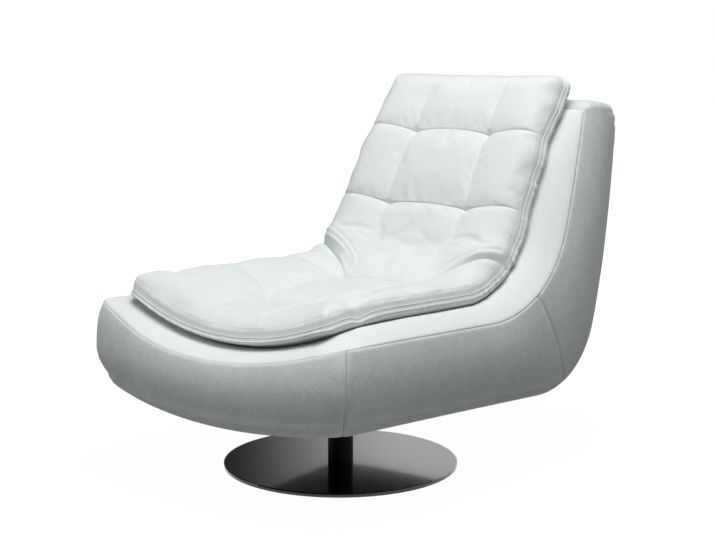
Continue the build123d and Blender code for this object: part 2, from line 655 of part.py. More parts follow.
# Spring clips: small blocks that hold the end legs of the springs
RAIL_TOP_DEPTH = -FRONT_RAIL_AT[1] - FRONT_RAIL_AT[2] / 2
CLIP_WIDTH = 16.0
clip_solids = []
for clip_p in (spring_first, spring_last):
    with BuildPart() as clip:
        with BuildSketch(Plane.YZ.offset(-CLIP_WIDTH / 2)):
            with Locations(side_point(clip_p, CLIP_HEIGHT / 2 - RAIL_TOP_DEPTH)):
                Rectangle(CLIP_DEPTH, CLIP_HEIGHT, rotation=-SEAT_TILT)
            with Locations(side_point(clip_p, -SPRING_DEPTH)):
                Circle(WIRE / 2 + 0.25, mode=Mode.SUBTRACT)
        extrude(amount=CLIP_WIDTH)
    clip_solids += [clip.part.solid().moved(Location((x, 0, 0))) for x in spring_rows]

# Back straps across the panels
strap_solids = []
for row in range(STRAP_COUNT):
    strap_p = BEND_END + STRAP_WIDTH / 2 + row * STRAP_SPACING
    strap_plane = station(strap_p, False)
    with BuildPart() as strap:
        with BuildSketch(strap_plane):
            with Locations((0, -foam_depth(strap_p) - EDGE_STEP + 0.1 + STRAP_THICKNESS / 2)):
                Rectangle(2 * FRAME_HALF - 6, STRAP_THICKNESS)
        extrude(amount=STRAP_WIDTH / 2, both=True)
    strap_solids.append(strap.part.solid())
back_straps = Compound(strap_solids)

# Deck cover: one panel over the seat and the inside back
COVER_TRIM = 1.0
with BuildPart() as deck_cover:
    for p in STATIONS:
        w = half_width(p)
        with BuildSketch(station(p)):
            with BuildLine():
                deck_arcs(p, 0.0, 0.0)
                Line((w, 0), (w - COVER_TRIM, -COVER))
                deck_arcs(p, -COVER, COVER_TRIM)
                Line((-w + COVER_TRIM, -COVER), (-w, 0))
            make_face()
    loft(ruled=True)


# Deck foam: one block form over all stations, parted in the bend into seat and back
with BuildPart() as deck_foam:
    for p in STATIONS:
        w = half_width(p) - COVER_TRIM
        with BuildSketch(station(p)):
            with BuildLine():
                deck_arcs(p, -COVER - SOFT_GAP, COVER_TRIM)
                Polyline(
                    (w, -COVER - SOFT_GAP),
                    (FRAME_HALF, -foam_depth(p)),
                    (-FRAME_HALF, -foam_depth(p)),
                    (-w, -COVER - SOFT_GAP),
                )
            make_face()
    loft(ruled=True)
foam_cut = station(STATIONS[FOAM_SPLIT_COUNT])
with BuildPart() as seat_foam:
    add(deck_foam.part)
    split(bisect_by=foam_cut.offset(SOFT_GAP / 2), keep=Keep.TOP)
with BuildPart() as back_foam:
    add(deck_foam.part)
    split(bisect_by=foam_cut.offset(-SOFT_GAP / 2), keep=Keep.BOTTOM)

# Side borders: foam-backed cover bands from the front corner to the top of the back
with BuildPart() as side_border:
    for p in STATIONS:
        w, t = half_width(p), depth(p)
        inner_x = FRAME_HALF + SOFT_GAP
        with BuildSketch(station(p)):
            with BuildLine():
                side_arcs(p, 1, COVER + SOFT_GAP)
                Polyline(
                    (under_half(p), -t),
                    (under_half(p), UNDER_PAD - t),
                    (inner_x, UNDER_PAD - t),
                    (inner_x, -foam_depth(p) - 2 * SOFT_GAP),
                    (w, -COVER - SOFT_GAP),
                )
            make_face()
    loft(ruled=True)
side_border_left = side_border.part
side_border_right = side_border.part.mirror(Plane.YZ)

# Outside back, carried around the lower corner to the underside
with BuildPart() as outside_back:
    for p in STATIONS:
        u, t = under_half(p) - SOFT_GAP, depth(p)
        with BuildSketch(station(p)):
            with BuildLine():
                ThreePointArc((-u, -t), (0, -t - under_crown(p)), (u, -t))
                Polyline((u, -t), (u, UNDER_PAD - t), (-u, UNDER_PAD - t), (-u, -t))
            make_face()
    loft(ruled=True)
    split(bisect_by=station(STATIONS[UNDER_SPLIT_COUNT]).offset(-SOFT_GAP), keep=Keep.BOTTOM)

# Dust cover under the seat, open around the column
with BuildPart() as dust_cover:
    for p in STATIONS[: UNDER_SPLIT_COUNT + 1]:
        u, t = under_half(p) - SOFT_GAP, depth(p)
        with BuildSketch(station(p)):
            with BuildLine():
                ThreePointArc((-u, -t), (0, -t - under_crown(p)), (u, -t))
                inside = DUST_COVER - t
                Line((u, -t), (u, inside))
                ThreePointArc((u, inside), (0, inside - under_crown(p)), (-u, inside))
                Line((-u, inside), (-u, -t))
            make_face()
    loft(ruled=True)
    with BuildSketch(Plane.XY):
        Circle(DUST_HOLE / 2)
    extrude(amount=SEAM_FRONT_Z, mode=Mode.SUBTRACT)

# Front border: side-view profiles set across the width, bowed in plan and dipped along the seam
front_plane = station(FRONT_START)


def front_profile(x):
    """Top, bottom and forward reach of the front border at distance x from the middle."""
    w, t, u = half_width(FRONT_START), depth(FRONT_START), under_half(FRONT_START)
    rest = rest_half(FRONT_START)
    if x <= rest:
        top = deck_height(FRONT_START, x)
    else:
        top = rim(FRONT_START) * (w - min(x, w)) / (w - rest)
    if x <= u:
        bottom = -t - FRONT_CROWN * (1 - (x / u) ** 2)
    else:
        bottom = EDGE_RADIUS - t - math.sqrt(max(0.0, EDGE_RADIUS ** 2 - (x - u) ** 2))
    reach = FRONT_BAND + FRONT_BOW * (1 - (x / w) ** 2)
    side = max(0.0, (x - w + SIDE_TUCK) / (SIDE_TUCK + SIDE_BULGE))
    ease = side ** FRONT_CORNER_POWER
    top, bottom = top - FRONT_CORNER_DROP * ease, bottom + FRONT_CORNER_LIFT * ease
    return top, bottom, reach * (1 - FRONT_CORNER_DRAW * side ** 2)


front_half = half_width(FRONT_START)
front_places = [0.0, front_half / 3, 0.6 * front_half, under_half(FRONT_START)]
front_places += [front_half - 0.6 * EDGE_RADIUS, front_half - SIDE_TUCK]
front_places += [front_half + SIDE_BULGE / 2, front_half + SIDE_BULGE - 1]
front_steps = [-x for x in reversed(front_places[1:])] + front_places
with BuildPart() as front_border:
    for x in front_steps:
        top, bottom, reach = front_profile(abs(x))
        top_round = min(FRONT_TOP_ROUND, 0.4 * reach, 0.25 * (top - bottom))
        low_round = min(FRONT_UNDER_ROUND, 0.7 * reach, 0.4 * (top - bottom))
        ease = 1 - math.sqrt(0.5)
        origin = front_plane.origin + Vector(x, 0, 0)
        with BuildSketch(Plane(origin=origin, x_dir=front_plane.z_dir, z_dir=(-1, 0, 0))):
            with BuildLine():
                Line((SOFT_GAP, top), (reach - top_round, top))
                ThreePointArc(
                    (reach - top_round, top),
                    (reach - ease * top_round, top - ease * top_round),
                    (reach, top - top_round),
                )
                Line((reach, top - top_round), (reach, bottom + low_round))
                ThreePointArc(
                    (reach, bottom + low_round),
                    (reach - ease * low_round, bottom + ease * low_round),
                    (reach - low_round, bottom),
                )
                Polyline((reach - low_round, bottom), (SOFT_GAP, bottom), (SOFT_GAP, top))
            make_face()
    loft(ruled=True)

# Top border: closes the back with a rounded band, drawn in step by step towards its top
TOP_STEP_COUNT = 3
top_sections = [(0.0, 0.0)]
for step in range(TOP_STEP_COUNT + 1):
    angle = math.radians(90.0 * step / TOP_STEP_COUNT)
    top_sections.append((TOP_BAND - TOP_ROUND * (1 - math.sin(angle)), TOP_ROUND * (1 - math.cos(angle))))
with BuildPart() as top_border:
    u, t = under_half(TOP_END), depth(TOP_END)
    for height, inset in top_sections:
        with BuildSketch(station(TOP_END).offset(-SOFT_GAP - height)):
            with BuildLine():
                deck_arcs(TOP_END, -inset, inset)
                side_arcs(TOP_END, 1, inset, inset)
                ThreePointArc((u, inset - t), (0, inset - t - under_crown(TOP_END)), (-u, inset - t))
                side_arcs(TOP_END, -1, inset, inset)
            make_face()
    loft(ruled=True)

# Loose pad: crowned panels between the tufted rows, cut to lie on the deck


def pad_half(p):
    """Half width of the pad."""
    return rest_half(p) - PAD_TUCK


def pad_outline(p, in_row, low):
    """Closed outline of the pad, low at a tufted row and full between the rows."""
    a = pad_half(p) - (PAD_DRAW_IN if in_row else 0.0)
    edge = rim(p) + PAD_BOXING - (ROW_EDGE_DROP if in_row else 0.0)
    foot = rim(p) - PAD_TUCK
    at_tuft = deck_height(p, TUFT_COLUMN)
    at_side = deck_height(p, SIDE_PLACE * PAD_HALF)
    tuft = at_tuft + (TUFT_REMAIN if in_row else COLUMN_REMAIN)
    middle = dish(p) + (ROW_REMAIN if in_row else PUFF)
    side = at_side + (ROW_REMAIN - ROW_SIDE_DROP if in_row else SIDE_PUFF)
    half = (a + TUFT_COLUMN) / 2
    ThreePointArc((-a, edge), (-half, side), (-TUFT_COLUMN, tuft))
    ThreePointArc((-TUFT_COLUMN, tuft), (0, middle), (TUFT_COLUMN, tuft))
    ThreePointArc((TUFT_COLUMN, tuft), (half, side), (a, edge))
    ThreePointArc((a, edge), (a + BOXING_BULGE, (edge + foot) / 2), (a, foot))
    Polyline((a, foot), (a, low), (-a, low), (-a, foot))
    ThreePointArc((-a, foot), (-a - BOXING_BULGE, (edge + foot) / 2), (-a, edge))


# The bed is the deck's own form, raised by the gap under the pad
BED_DEPTH = 140.0
with BuildPart() as pad_bed:
    for p in STATIONS:
        w = half_width(p)
        with BuildSketch(station(p)):
            with BuildLine():
                deck_arcs(p, SOFT_GAP, 0.0)
                Polyline((w, SOFT_GAP), (w, -BED_DEPTH), (-w, -BED_DEPTH), (-w, SOFT_GAP))
            make_face()
    loft(ruled=True)

TUFT_ROWS = (FIRST_ROW, SECOND_ROW, BEND_END + THIRD_ROW_FROM_BEND, BEND_END + FOURTH_ROW_FROM_BEND)
PAD_STOPS = (PAD_FRONT,) + TUFT_ROWS + (PAD_END,)
PAD_LOW = [(SEAT_RUN, -62), (BEND_END + 0.42 * BACK_RUN, -20), (BEND_END + 0.78 * BACK_RUN, 0)]
PAD_LOW += [(TOP_END, 13), (TOP_END + PAD_OVERHANG / 2, 17)]
TRIM_LENGTH = PAD_END + BED_DEPTH
TRIM_WIDTH = 2 * (PAD_HALF + BOXING_BULGE - 1)
with BuildPart() as lounge_pad:
    for first, last in zip(PAD_STOPS, PAD_STOPS[1:]):
        for part_way in (0.0, 0.3, 0.7, 1.0):
            at = first + (last - first) * part_way
            with BuildSketch(station(at, False)):
                with BuildLine():
                    pad_outline(at, part_way in (0.0, 1.0), blend(at, PAD_LOW))
                make_face()
        loft()
    seat_trim = station(PAD_FRONT, False)
    with BuildSketch(Plane(origin=seat_trim.origin, x_dir=(1, 0, 0), z_dir=seat_trim.y_dir)):
        with Locations((0, TRIM_LENGTH / 2)):
            RectangleRounded(TRIM_WIDTH, TRIM_LENGTH, PAD_FRONT_CORNER)
    extrude(amount=TRIM_LENGTH, both=True, mode=Mode.INTERSECT)
    top_trim = station(PAD_END, False)
    with BuildSketch(Plane(origin=top_trim.origin, x_dir=(1, 0, 0), z_dir=top_trim.y_dir)):
        with Locations((0, -TRIM_LENGTH / 2)):
            RectangleRounded(TRIM_WIDTH, TRIM_LENGTH, PAD_TOP_CORNER)
    extrude(amount=TRIM_LENGTH, both=True, mode=Mode.INTERSECT)
    add(pad_bed.part, mode=Mode.SUBTRACT)
    add(top_border.part.moved(Location((0, -SOFT_GAP, 0))), mode=Mode.SUBTRACT)

PARTS = {
    "base_disc": base_disc.part,
    "floor_pad": floor_pad.part,
    "column_tube": column_tube.part,
    "foot_plug": foot_plug.part,
    "foot_screws": foot_screw_set,
    "lower_bush": lower_bush.part,
    "upper_bush": upper_bush.part,
    "lower_race": lower_race.part,
    "upper_race": upper_race.part,
    "ball_cage": ball_cage.part,
    "bearing_balls": bearing_balls,
    "spindle": spindle.part,
    "spindle_collar": spindle_collar.part,
    "retaining_washer": retaining_washer.part,
    "retaining_ring": retaining_ring.part,
    "swivel_plate": swivel_plate.part,
    "plate_bolts": plate_bolts,
    "plate_washers": plate_washers,
    "tee_nuts": tee_nuts,
    "seat_board": seat_board_part,
    "front_rail": front_rail,
    "spring_rail": spring_rail,
    "rear_rail": rear_rail,
    "lumbar_rail": lumbar_rail,
    "top_rail": top_rail,
    "frame_side_left": frame_side_left,
    "frame_side_right": frame_side_right,
    "rail_screws": rail_screws,
    "seat_springs": seat_springs,
    "spring_clips": Compound(clip_solids),
    "back_straps": back_straps,
    "seat_foam": seat_foam.part,
    "back_foam": back_foam.part,
    "deck_cover": deck_cover.part,
    "side_border_left": side_border_left,
    "side_border_right": side_border_right,
    "front_border": front_border.part,
    "top_border": top_border.part,
    "outside_back": outside_back.part,
    "dust_cover": dust_cover.part,
    "lounge_pad": lounge_pad.part,
}
for name, shape in PARTS.items():
    shape.label = name
    export_step(shape, f"parts/{name}.step")
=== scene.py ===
"""Looks of a swivel lounge chair: upholstered shell, loose tufted pad, column and disc base."""
import logging
import math
from dataclasses import dataclass, replace
from enum import Enum

import bpy
import numpy as np
from mathutils import Matrix, Vector


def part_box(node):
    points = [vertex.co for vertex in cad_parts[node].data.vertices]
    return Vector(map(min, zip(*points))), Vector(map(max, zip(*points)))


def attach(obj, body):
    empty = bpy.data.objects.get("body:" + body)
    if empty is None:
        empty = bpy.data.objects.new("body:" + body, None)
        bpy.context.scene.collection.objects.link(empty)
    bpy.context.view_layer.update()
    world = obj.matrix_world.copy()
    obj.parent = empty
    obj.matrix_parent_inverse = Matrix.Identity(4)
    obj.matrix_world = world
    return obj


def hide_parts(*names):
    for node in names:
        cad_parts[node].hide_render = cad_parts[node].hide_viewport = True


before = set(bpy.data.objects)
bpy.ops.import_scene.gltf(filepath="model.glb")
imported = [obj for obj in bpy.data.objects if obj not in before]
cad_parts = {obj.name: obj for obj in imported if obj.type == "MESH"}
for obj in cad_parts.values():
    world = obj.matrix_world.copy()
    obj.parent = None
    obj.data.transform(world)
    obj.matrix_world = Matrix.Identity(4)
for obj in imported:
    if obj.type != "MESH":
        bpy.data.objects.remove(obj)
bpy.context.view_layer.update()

logging.basicConfig(level=logging.INFO, format="%(message)s")
LOG = logging.getLogger("lounge_chair")

Triple = tuple[float, float, float]
Color = tuple[float, float, float, float]
Keys = tuple[tuple[float, float], ...]
Faces = list[tuple[int, ...]]

SEAT_BODY = "seat"
MM = 0.001
QUARTER = math.pi / 2
ACROSS = np.array([1.0, 0.0, 0.0])
FORWARD = np.array([0.0, -1.0, 0.0])
UP = np.array([0.0, 0.0, 1.0])
LOOKUP = np.linspace(-0.20, 1.30, 751)
CLOSE_STEPS = np.array([0.0, 1.2, 2.4, 4.0, 6.0, 9.0, 13.0]) * MM
SEAM_DEPTH = 0.0024
SEAM_WIDTH = 0.0034
SEAM_SHAPE = 1.5


class Slot(Enum):
    """Names of two material slots of the record."""

    UPHOLSTERY = "upholstery"
    DUST_CLOTH = "dust_cloth"


class Side(Enum):
    """The two sides of the chair, as the sign of X."""

    LEFT = 1
    RIGHT = -1


def smooth_curve(keys: Keys, spread: float = 0.03) -> tuple[np.ndarray, np.ndarray]:
    """Turn a few key values into a smooth lookup along the seam.

    Args:
        keys: pairs of seam length and value.
        spread: width of the smoothing, in metres.

    Returns:
        Sample places and values for np.interp.
    """
    raw = np.interp(LOOKUP, [key[0] for key in keys], [key[1] for key in keys])
    step = LOOKUP[1] - LOOKUP[0]
    reach = int(3 * spread / step)
    kernel = np.exp(-0.5 * (np.arange(-reach, reach + 1) * step / spread) ** 2)
    kernel /= kernel.sum()
    return LOOKUP, np.convolve(np.pad(raw, reach, mode="edge"), kernel, mode="valid")


def edge_steps(length: float, step: float) -> np.ndarray:
    """Places from 0 to 1 along a panel, close together beside its two edges.

    Args:
        length: length of the panel in metres.
        step: spacing in the middle in metres.

    Returns:
        Rising values from 0 to 1.
    """
    last = CLOSE_STEPS[-1]
    middle = np.linspace(last, length - last, max(3, int((length - 2 * last) / step) + 1))
    return np.concatenate([CLOSE_STEPS[:-1], middle, length - CLOSE_STEPS[-2::-1]]) / length


def unit(vectors: np.ndarray) -> np.ndarray:
    """The vectors along the last axis, brought to length one."""
    return vectors / np.maximum(np.linalg.norm(vectors, axis=-1, keepdims=True), 1e-12)


def eased(share: np.ndarray) -> np.ndarray:
    """A soft start and a soft end for a share that is clipped to 0 to 1."""
    share = np.clip(share, 0, 1)
    return share * share * (3 - 2 * share)


def bell(away: np.ndarray, width: float | np.ndarray) -> np.ndarray:
    """A bell curve: one at distance 0, and falling off over the width."""
    return np.exp(-((away / width) ** 2))


def run_length(line: np.ndarray) -> np.ndarray:
    """Length along a line at each of its points."""
    return np.concatenate([[0], np.cumsum(np.linalg.norm(np.diff(line, axis=0), axis=1))])


def normals_of(grid: np.ndarray) -> np.ndarray:
    """Unit normals of a grid of points, row direction crossed with column direction."""
    return unit(np.cross(np.gradient(grid, axis=0), np.gradient(grid, axis=1)))


def edge_distance(grid: np.ndarray, sides: str = "NSWE") -> np.ndarray:
    """Distance of every grid point to the nearest of the named edges, along the grid lines.

    Args:
        grid: points, rows by columns by three.
        sides: N first row, S last row, W first column, E last column.

    Returns:
        Distances in metres.
    """
    rows = np.linalg.norm(np.diff(grid, axis=0), axis=2)
    cols = np.linalg.norm(np.diff(grid, axis=1), axis=2)
    from_n = np.concatenate([np.zeros((1, grid.shape[1])), np.cumsum(rows, axis=0)])
    from_w = np.concatenate([np.zeros((grid.shape[0], 1)), np.cumsum(cols, axis=1)], axis=1)
    found = {"N": from_n, "S": from_n[-1:] - from_n, "W": from_w, "E": from_w[:, -1:] - from_w}
    return np.min([found[side] for side in sides], axis=0)


def link_mesh(name: str, points: np.ndarray, faces: Faces) -> bpy.types.Object:
    """Make a smooth-shaded mesh object in the scene.

    Args:
        name: name of the piece.
        points: its points in metres.
        faces: point numbers of each face.

    Returns:
        The new object.
    """
    mesh = bpy.data.meshes.new(name)
    mesh.from_pydata(points.tolist(), [], faces)
    mesh.validate()
    mesh.polygons.foreach_set("use_smooth", np.ones(len(mesh.polygons), dtype=bool))
    mesh.update()
    piece = bpy.data.objects.new(name, mesh)
    bpy.context.scene.collection.objects.link(piece)
    LOG.info("made %s with %d faces", name, len(faces))
    return piece


def dress(
    piece: bpy.types.Object,
    material: bpy.types.Material,
    nodes: tuple[str, ...] = (),
) -> None:
    """Give a piece of the seat its finish, hide the construction nodes that it takes the place of, and hang
    it on the seat body.

    Args:
        piece: the piece.
        material: its finish.
        nodes: construction nodes that it takes the place of.
    """
    piece.data.materials.append(material)
    if nodes:
        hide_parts(*nodes)
    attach(piece, SEAT_BODY)


def grid_faces(rows: int, cols: int, start: int, flip: bool) -> Faces:
    """Quads of a grid of points.

    Args:
        rows: rows of points.
        cols: columns of points.
        start: number of the first point.
        flip: whether the faces turn the other way.

    Returns:
        The quads.
    """
    i, j = np.meshgrid(np.arange(rows - 1), np.arange(cols - 1), indexing="ij")
    a = (start + i * cols + j).ravel()
    quads = np.stack([a, a + 1, a + cols + 1, a + cols], axis=1)
    return [tuple(quad) for quad in (quads if flip else quads[:, ::-1]).tolist()]


def wall_faces(above: np.ndarray, below: np.ndarray) -> Faces:
    """Quads that join two closed loops of point numbers."""
    quads = np.stack([above, np.roll(above, -1), np.roll(below, -1), below], axis=1)
    return [tuple(quad) for quad in quads.tolist()]


def tube_faces(rings: int, turns: int, start: int = 0, closed: bool = False) -> Faces:
    """Quads of a tube that is made of rings of points.

    Args:
        rings: number of rings.
        turns: points in each ring.
        start: number of the first point.
        closed: whether the last ring joins the first.

    Returns:
        The quads.
    """
    faces = []
    for ring in range(rings if closed else rings - 1):
        here, ahead = start + ring * turns, start + (ring + 1) % rings * turns
        for turn in range(turns):
            aside = (turn + 1) % turns
            faces.append((here + turn, here + aside, ahead + aside, ahead + turn))
    return faces


def rim_loop(rows: int, cols: int) -> np.ndarray:
    """Point numbers once around the border of a grid.

    Args:
        rows: rows of points.
        cols: columns of points.

    Returns:
        The numbers in order.
    """
    top = np.arange(cols)
    right = np.arange(1, rows) * cols + cols - 1
    bottom = (rows - 1) * cols + np.arange(cols - 2, -1, -1)
    left = np.arange(rows - 2, 0, -1) * cols
    return np.concatenate([top, right, bottom, left])


def shrink_grid(grid: np.ndarray, margin: int) -> np.ndarray:
    """The same grid drawn in from its border.

    Args:
        grid: points, rows by columns by three.
        margin: rows and columns that are left out on each side.

    Returns:
        As many points, spread over the rest.
    """
    for axis in (0, 1):
        count = grid.shape[axis]
        at = np.linspace(margin, count - 1 - margin, count)
        low = np.minimum(at.astype(int), count - 2)
        part = (at - low).reshape((-1, 1, 1) if axis == 0 else (1, -1, 1))
        grid = np.take(grid, low, axis) * (1 - part) + np.take(grid, low + 1, axis) * part
    return grid


def mark_level(piece: bpy.types.Object, number: np.ndarray, level: str) -> None:
    """Shade the borders that run on smoothly into the next panel apart from the panel's rim.

    Args:
        piece: the panel.
        number: point numbers of its outer grid.
        level: the borders, by the letters of edge_distance.
    """
    edges = piece.data.edges
    ends = np.empty(2 * len(edges), dtype=np.int32)
    edges.foreach_get("vertices", ends)
    border = {"N": number[0], "S": number[-1], "W": number[:, 0], "E": number[:, -1]}
    sharp = np.zeros(len(edges), dtype=bool)
    for side in level:
        sharp |= np.isin(ends.reshape(-1, 2), border[side]).all(axis=1)
    piece.data.attributes.new("sharp_edge", "BOOLEAN", "EDGE").data.foreach_set("value", sharp)


def closed_panel(
    name: str, grid: np.ndarray, thickness: float, margin: int = 5, level: str = ""
) -> bpy.types.Object:
    """Close a sheet of points into a padded panel with a drawn-in back.

    Args:
        name: name of the piece.
        grid: outer points, rows by columns by three, with outward normals.
        thickness: depth of the panel in metres.
        margin: rows and columns by which the back is drawn in.
        level: borders that run on smoothly into the next panel, by the letters of edge_distance.

    Returns:
        The new object.
    """
    rows, cols = grid.shape[:2]
    count = rows * cols
    back = shrink_grid(grid - normals_of(grid) * thickness, margin)
    faces = grid_faces(rows, cols, 0, False) + grid_faces(rows, cols, count, True)
    faces += wall_faces(rim_loop(rows, cols), rim_loop(rows, cols) + count)
    piece = link_mesh(name, np.concatenate([grid.reshape(-1, 3), back.reshape(-1, 3)]), faces)
    mark_level(piece, np.arange(count).reshape(rows, cols), level)
    return piece


@dataclass(frozen=True)
class Stitch:
    """One size of thread stitch, in metres, with the form of its five rings as shares of the radius."""

    length: float
    gap: float
    radius: float
    lift: tuple[float, ...] = (-0.9, 0.25, 0.6, 0.25, -0.9)
    size: tuple[float, ...] = (0.35, 0.95, 1.0, 0.95, 0.35)
    turns: int = 6

    def run(self, name: str, line: np.ndarray, normal: np.ndarray) -> bpy.types.Object:
        """Lay separate stitches along a line on a surface.

        Args:
            name: name of the piece.
            line: points along the seam in metres.
            normal: outward directions at those points.

        Returns:
            One mesh with all the stitches.
        """
        run, rings = run_length(line), len(self.lift)
        angle = np.linspace(0, 2 * math.pi, self.turns, endpoint=False)[:, None]
        points, faces = [], []
        for start in np.arange(self.gap, run[-1] - self.length, self.length + self.gap):
            along = np.linspace(start, start + self.length, rings)
            centre = np.stack([np.interp(along, run, line[:, k]) for k in range(3)], axis=1)
            out = unit(np.stack([np.interp(along, run, normal[:, k]) for k in range(3)], axis=1))
            across = np.cross(unit(np.gradient(centre, axis=0)), out)
            first = len(points) * self.turns
            for k in range(rings):
                ring = np.cos(angle) * across[k] + np.sin(angle) * out[k]
                lifted = centre[k] + out[k] * self.lift[k] * self.radius
                points.append(lifted + self.size[k] * self.radius * ring)
            faces += tube_faces(rings, self.turns, first)
            faces.append(tuple(first + t for t in range(self.turns))[::-1])
            faces.append(tuple(first + (rings - 1) * self.turns + t for t in range(self.turns)))
        return link_mesh(name, np.concatenate(points), faces)


SHELL_STITCH = Stitch(0.0050, 0.0016, 0.00055)
PAD_STITCH = Stitch(0.0048, 0.0016, 0.00045)


@dataclass
class ShellForm:
    """Side view and sections of the shell, the same values as the construction model, in metres."""

    seam_front_y: float = -0.350
    seam_front_z: float = 0.3495
    seat_tilt: float = math.radians(2.0)
    seat_run: float = 0.440
    bend_radius: float = 0.300
    back_lean: float = math.radians(26.8)
    back_run: float = 0.281
    top_fan: float = math.radians(21.0)
    under_z: float = 0.160
    under_tilt: float = math.radians(3.0)
    outer_corner_y: float = 0.444
    outer_corner_radius: float = 0.208
    rear_lean: float = math.radians(19.2)
    seat_half: float = 0.334
    top_half: float = 0.277
    width_taper: float = 1.5
    taper_limit: float = 1.3
    side_bulge: float = 0.013
    side_tuck: float = 0.004
    tuck_shape: float = 0.7
    edge_radius: float = 0.036
    back_edge_radius: float = 0.026
    corner_p: float = -0.012
    middle_p: float = -0.050
    front_bow: float = 2.2
    front_dip: float = 0.057
    front_crown: float = 0.022
    front_rise: float = 0.075
    shoulder_least: float = 0.004
    shoulder_shape: float = 0.9
    corner_round: float = 0.030
    corner_turn: float = math.radians(60)
    corner_slack: float = 0.02
    bend_seam: float = 0.604
    split_p: float = 0.525
    top_roll: float = 0.034
    roll_share: float = 0.88
    roll_depth: float = 0.022
    roll_tuck: float = 0.002
    top_rise: float = 0.022
    top_drop: float = 0.006
    top_square: int = 6
    soft: float = 0.05
    depth_window: int = 9
    rim_keys: Keys = (
        (0.0, 0.006), (0.014, 0.009), (0.075, 0.020), (0.19, 0.025), (0.44, 0.027),
        (0.611, 0.032), (0.781, 0.036), (0.957, 0.030), (1.062, 0.009), (1.12, 0.001),
    )
    dish_keys: Keys = (
        (0.0, -0.044), (0.075, -0.038), (0.19, -0.028), (0.44, -0.012), (0.611, 0.012),
        (0.781, 0.034), (0.957, 0.026), (1.062, 0.008), (1.12, 0.0),
    )
    crown_keys: Keys = ((0.026, front_crown), (0.44, 0.012), (0.781, 0.009), (1.06, 0.008))
    rest_keys: Keys = ((0.44, 0.268), (1.062, 0.249))

    def __post_init__(self) -> None:
        """Work out the bend, the corner and the smooth lookups."""
        self.bend_angle = QUARTER - self.back_lean + self.seat_tilt
        self.bend_end = self.seat_run + self.bend_radius * self.bend_angle
        self.top_end = self.bend_end + self.back_run
        self.front_cut = self.corner_round * (1 - math.cos(self.corner_turn))
        self.side_cut = self.corner_round * (1 - math.sin(self.corner_turn))
        self._rim = smooth_curve(self.rim_keys)
        self._dish = smooth_curve(self.dish_keys)
        self._crown = smooth_curve(self.crown_keys, self.soft)
        edge_keys = ((self.seat_run, self.edge_radius), (self.bend_end, self.back_edge_radius))
        self._edge = smooth_curve(edge_keys, self.soft)
        self._rest = smooth_curve(self.rest_keys, self.soft)
        bend_mid = (self.seat_run + self.bend_end) / 2
        share = np.clip((LOOKUP - bend_mid) / (self.top_end - bend_mid), 0, self.taper_limit)
        taper = (self.seat_half - self.top_half) * share ** self.width_taper
        self._half = (LOOKUP, self.seat_half - taper)
        deep = np.array([self._depth_at(float(p)) for p in LOOKUP])
        kernel = np.ones(self.depth_window) / self.depth_window
        padded = np.pad(deep, self.depth_window // 2, mode="edge")
        self._deep = (LOOKUP, np.convolve(padded, kernel, mode="valid"))

    def seam(self, p: np.ndarray) -> tuple[np.ndarray, np.ndarray, np.ndarray]:
        """The side seam in the side view.

        Args:
            p: lengths along the seam from the front.

        Returns:
            Y, Z and slope of the seam.
        """
        p = np.asarray(p, dtype=float)
        tilt = self.seat_tilt
        bend_y = self.seam_front_y + self.seat_run * math.cos(tilt)
        bend_z = self.seam_front_z - self.seat_run * math.sin(tilt)
        centre_y = bend_y + self.bend_radius * math.sin(tilt)
        centre_z = bend_z + self.bend_radius * math.cos(tilt)
        slope = np.clip((p - self.seat_run) / self.bend_radius, 0, self.bend_angle) - tilt
        run = np.minimum(p - self.seat_run, 0) + np.maximum(p - self.bend_end, 0)
        y = centre_y + self.bend_radius * np.sin(slope) + run * np.cos(slope)
        z = centre_z - self.bend_radius * np.cos(slope) + run * np.sin(slope)
        return y, z, slope

    def section_slope(self, p: np.ndarray, fan: bool = True) -> np.ndarray:
        """Angle of the section at p.

        Args:
            p: lengths along the seam.
            fan: whether the sections fan out towards the top, as those of the shell do.

        Returns:
            Angles from the level.
        """
        slope = self.seam(p)[2]
        if fan:
            slope = slope + self.top_fan * np.maximum(np.asarray(p) - self.bend_end, 0) / self.back_run
        return slope

    def up(self, p: np.ndarray, fan: bool = True) -> np.ndarray:
        """Direction out of the deck at p."""
        angle = self.section_slope(p, fan)
        return np.stack([np.zeros_like(angle), -np.sin(angle), np.cos(angle)], axis=-1)

    def place(self, p: np.ndarray, x: np.ndarray, h: np.ndarray, fan: bool = True) -> np.ndarray:
        """Points of a section.

        Args:
            p: lengths along the seam.
            x: distances from the middle.
            h: heights out of the seam.
            fan: whether the sections fan out towards the top.

        Returns:
            The points.
        """
        p, x, h = np.broadcast_arrays(np.asarray(p, float), np.asarray(x, float), np.asarray(h, float))
        y, z, _ = self.seam(p)
        angle = self.section_slope(p, fan)
        return np.stack([x, y - h * np.sin(angle), z + h * np.cos(angle)], axis=-1)

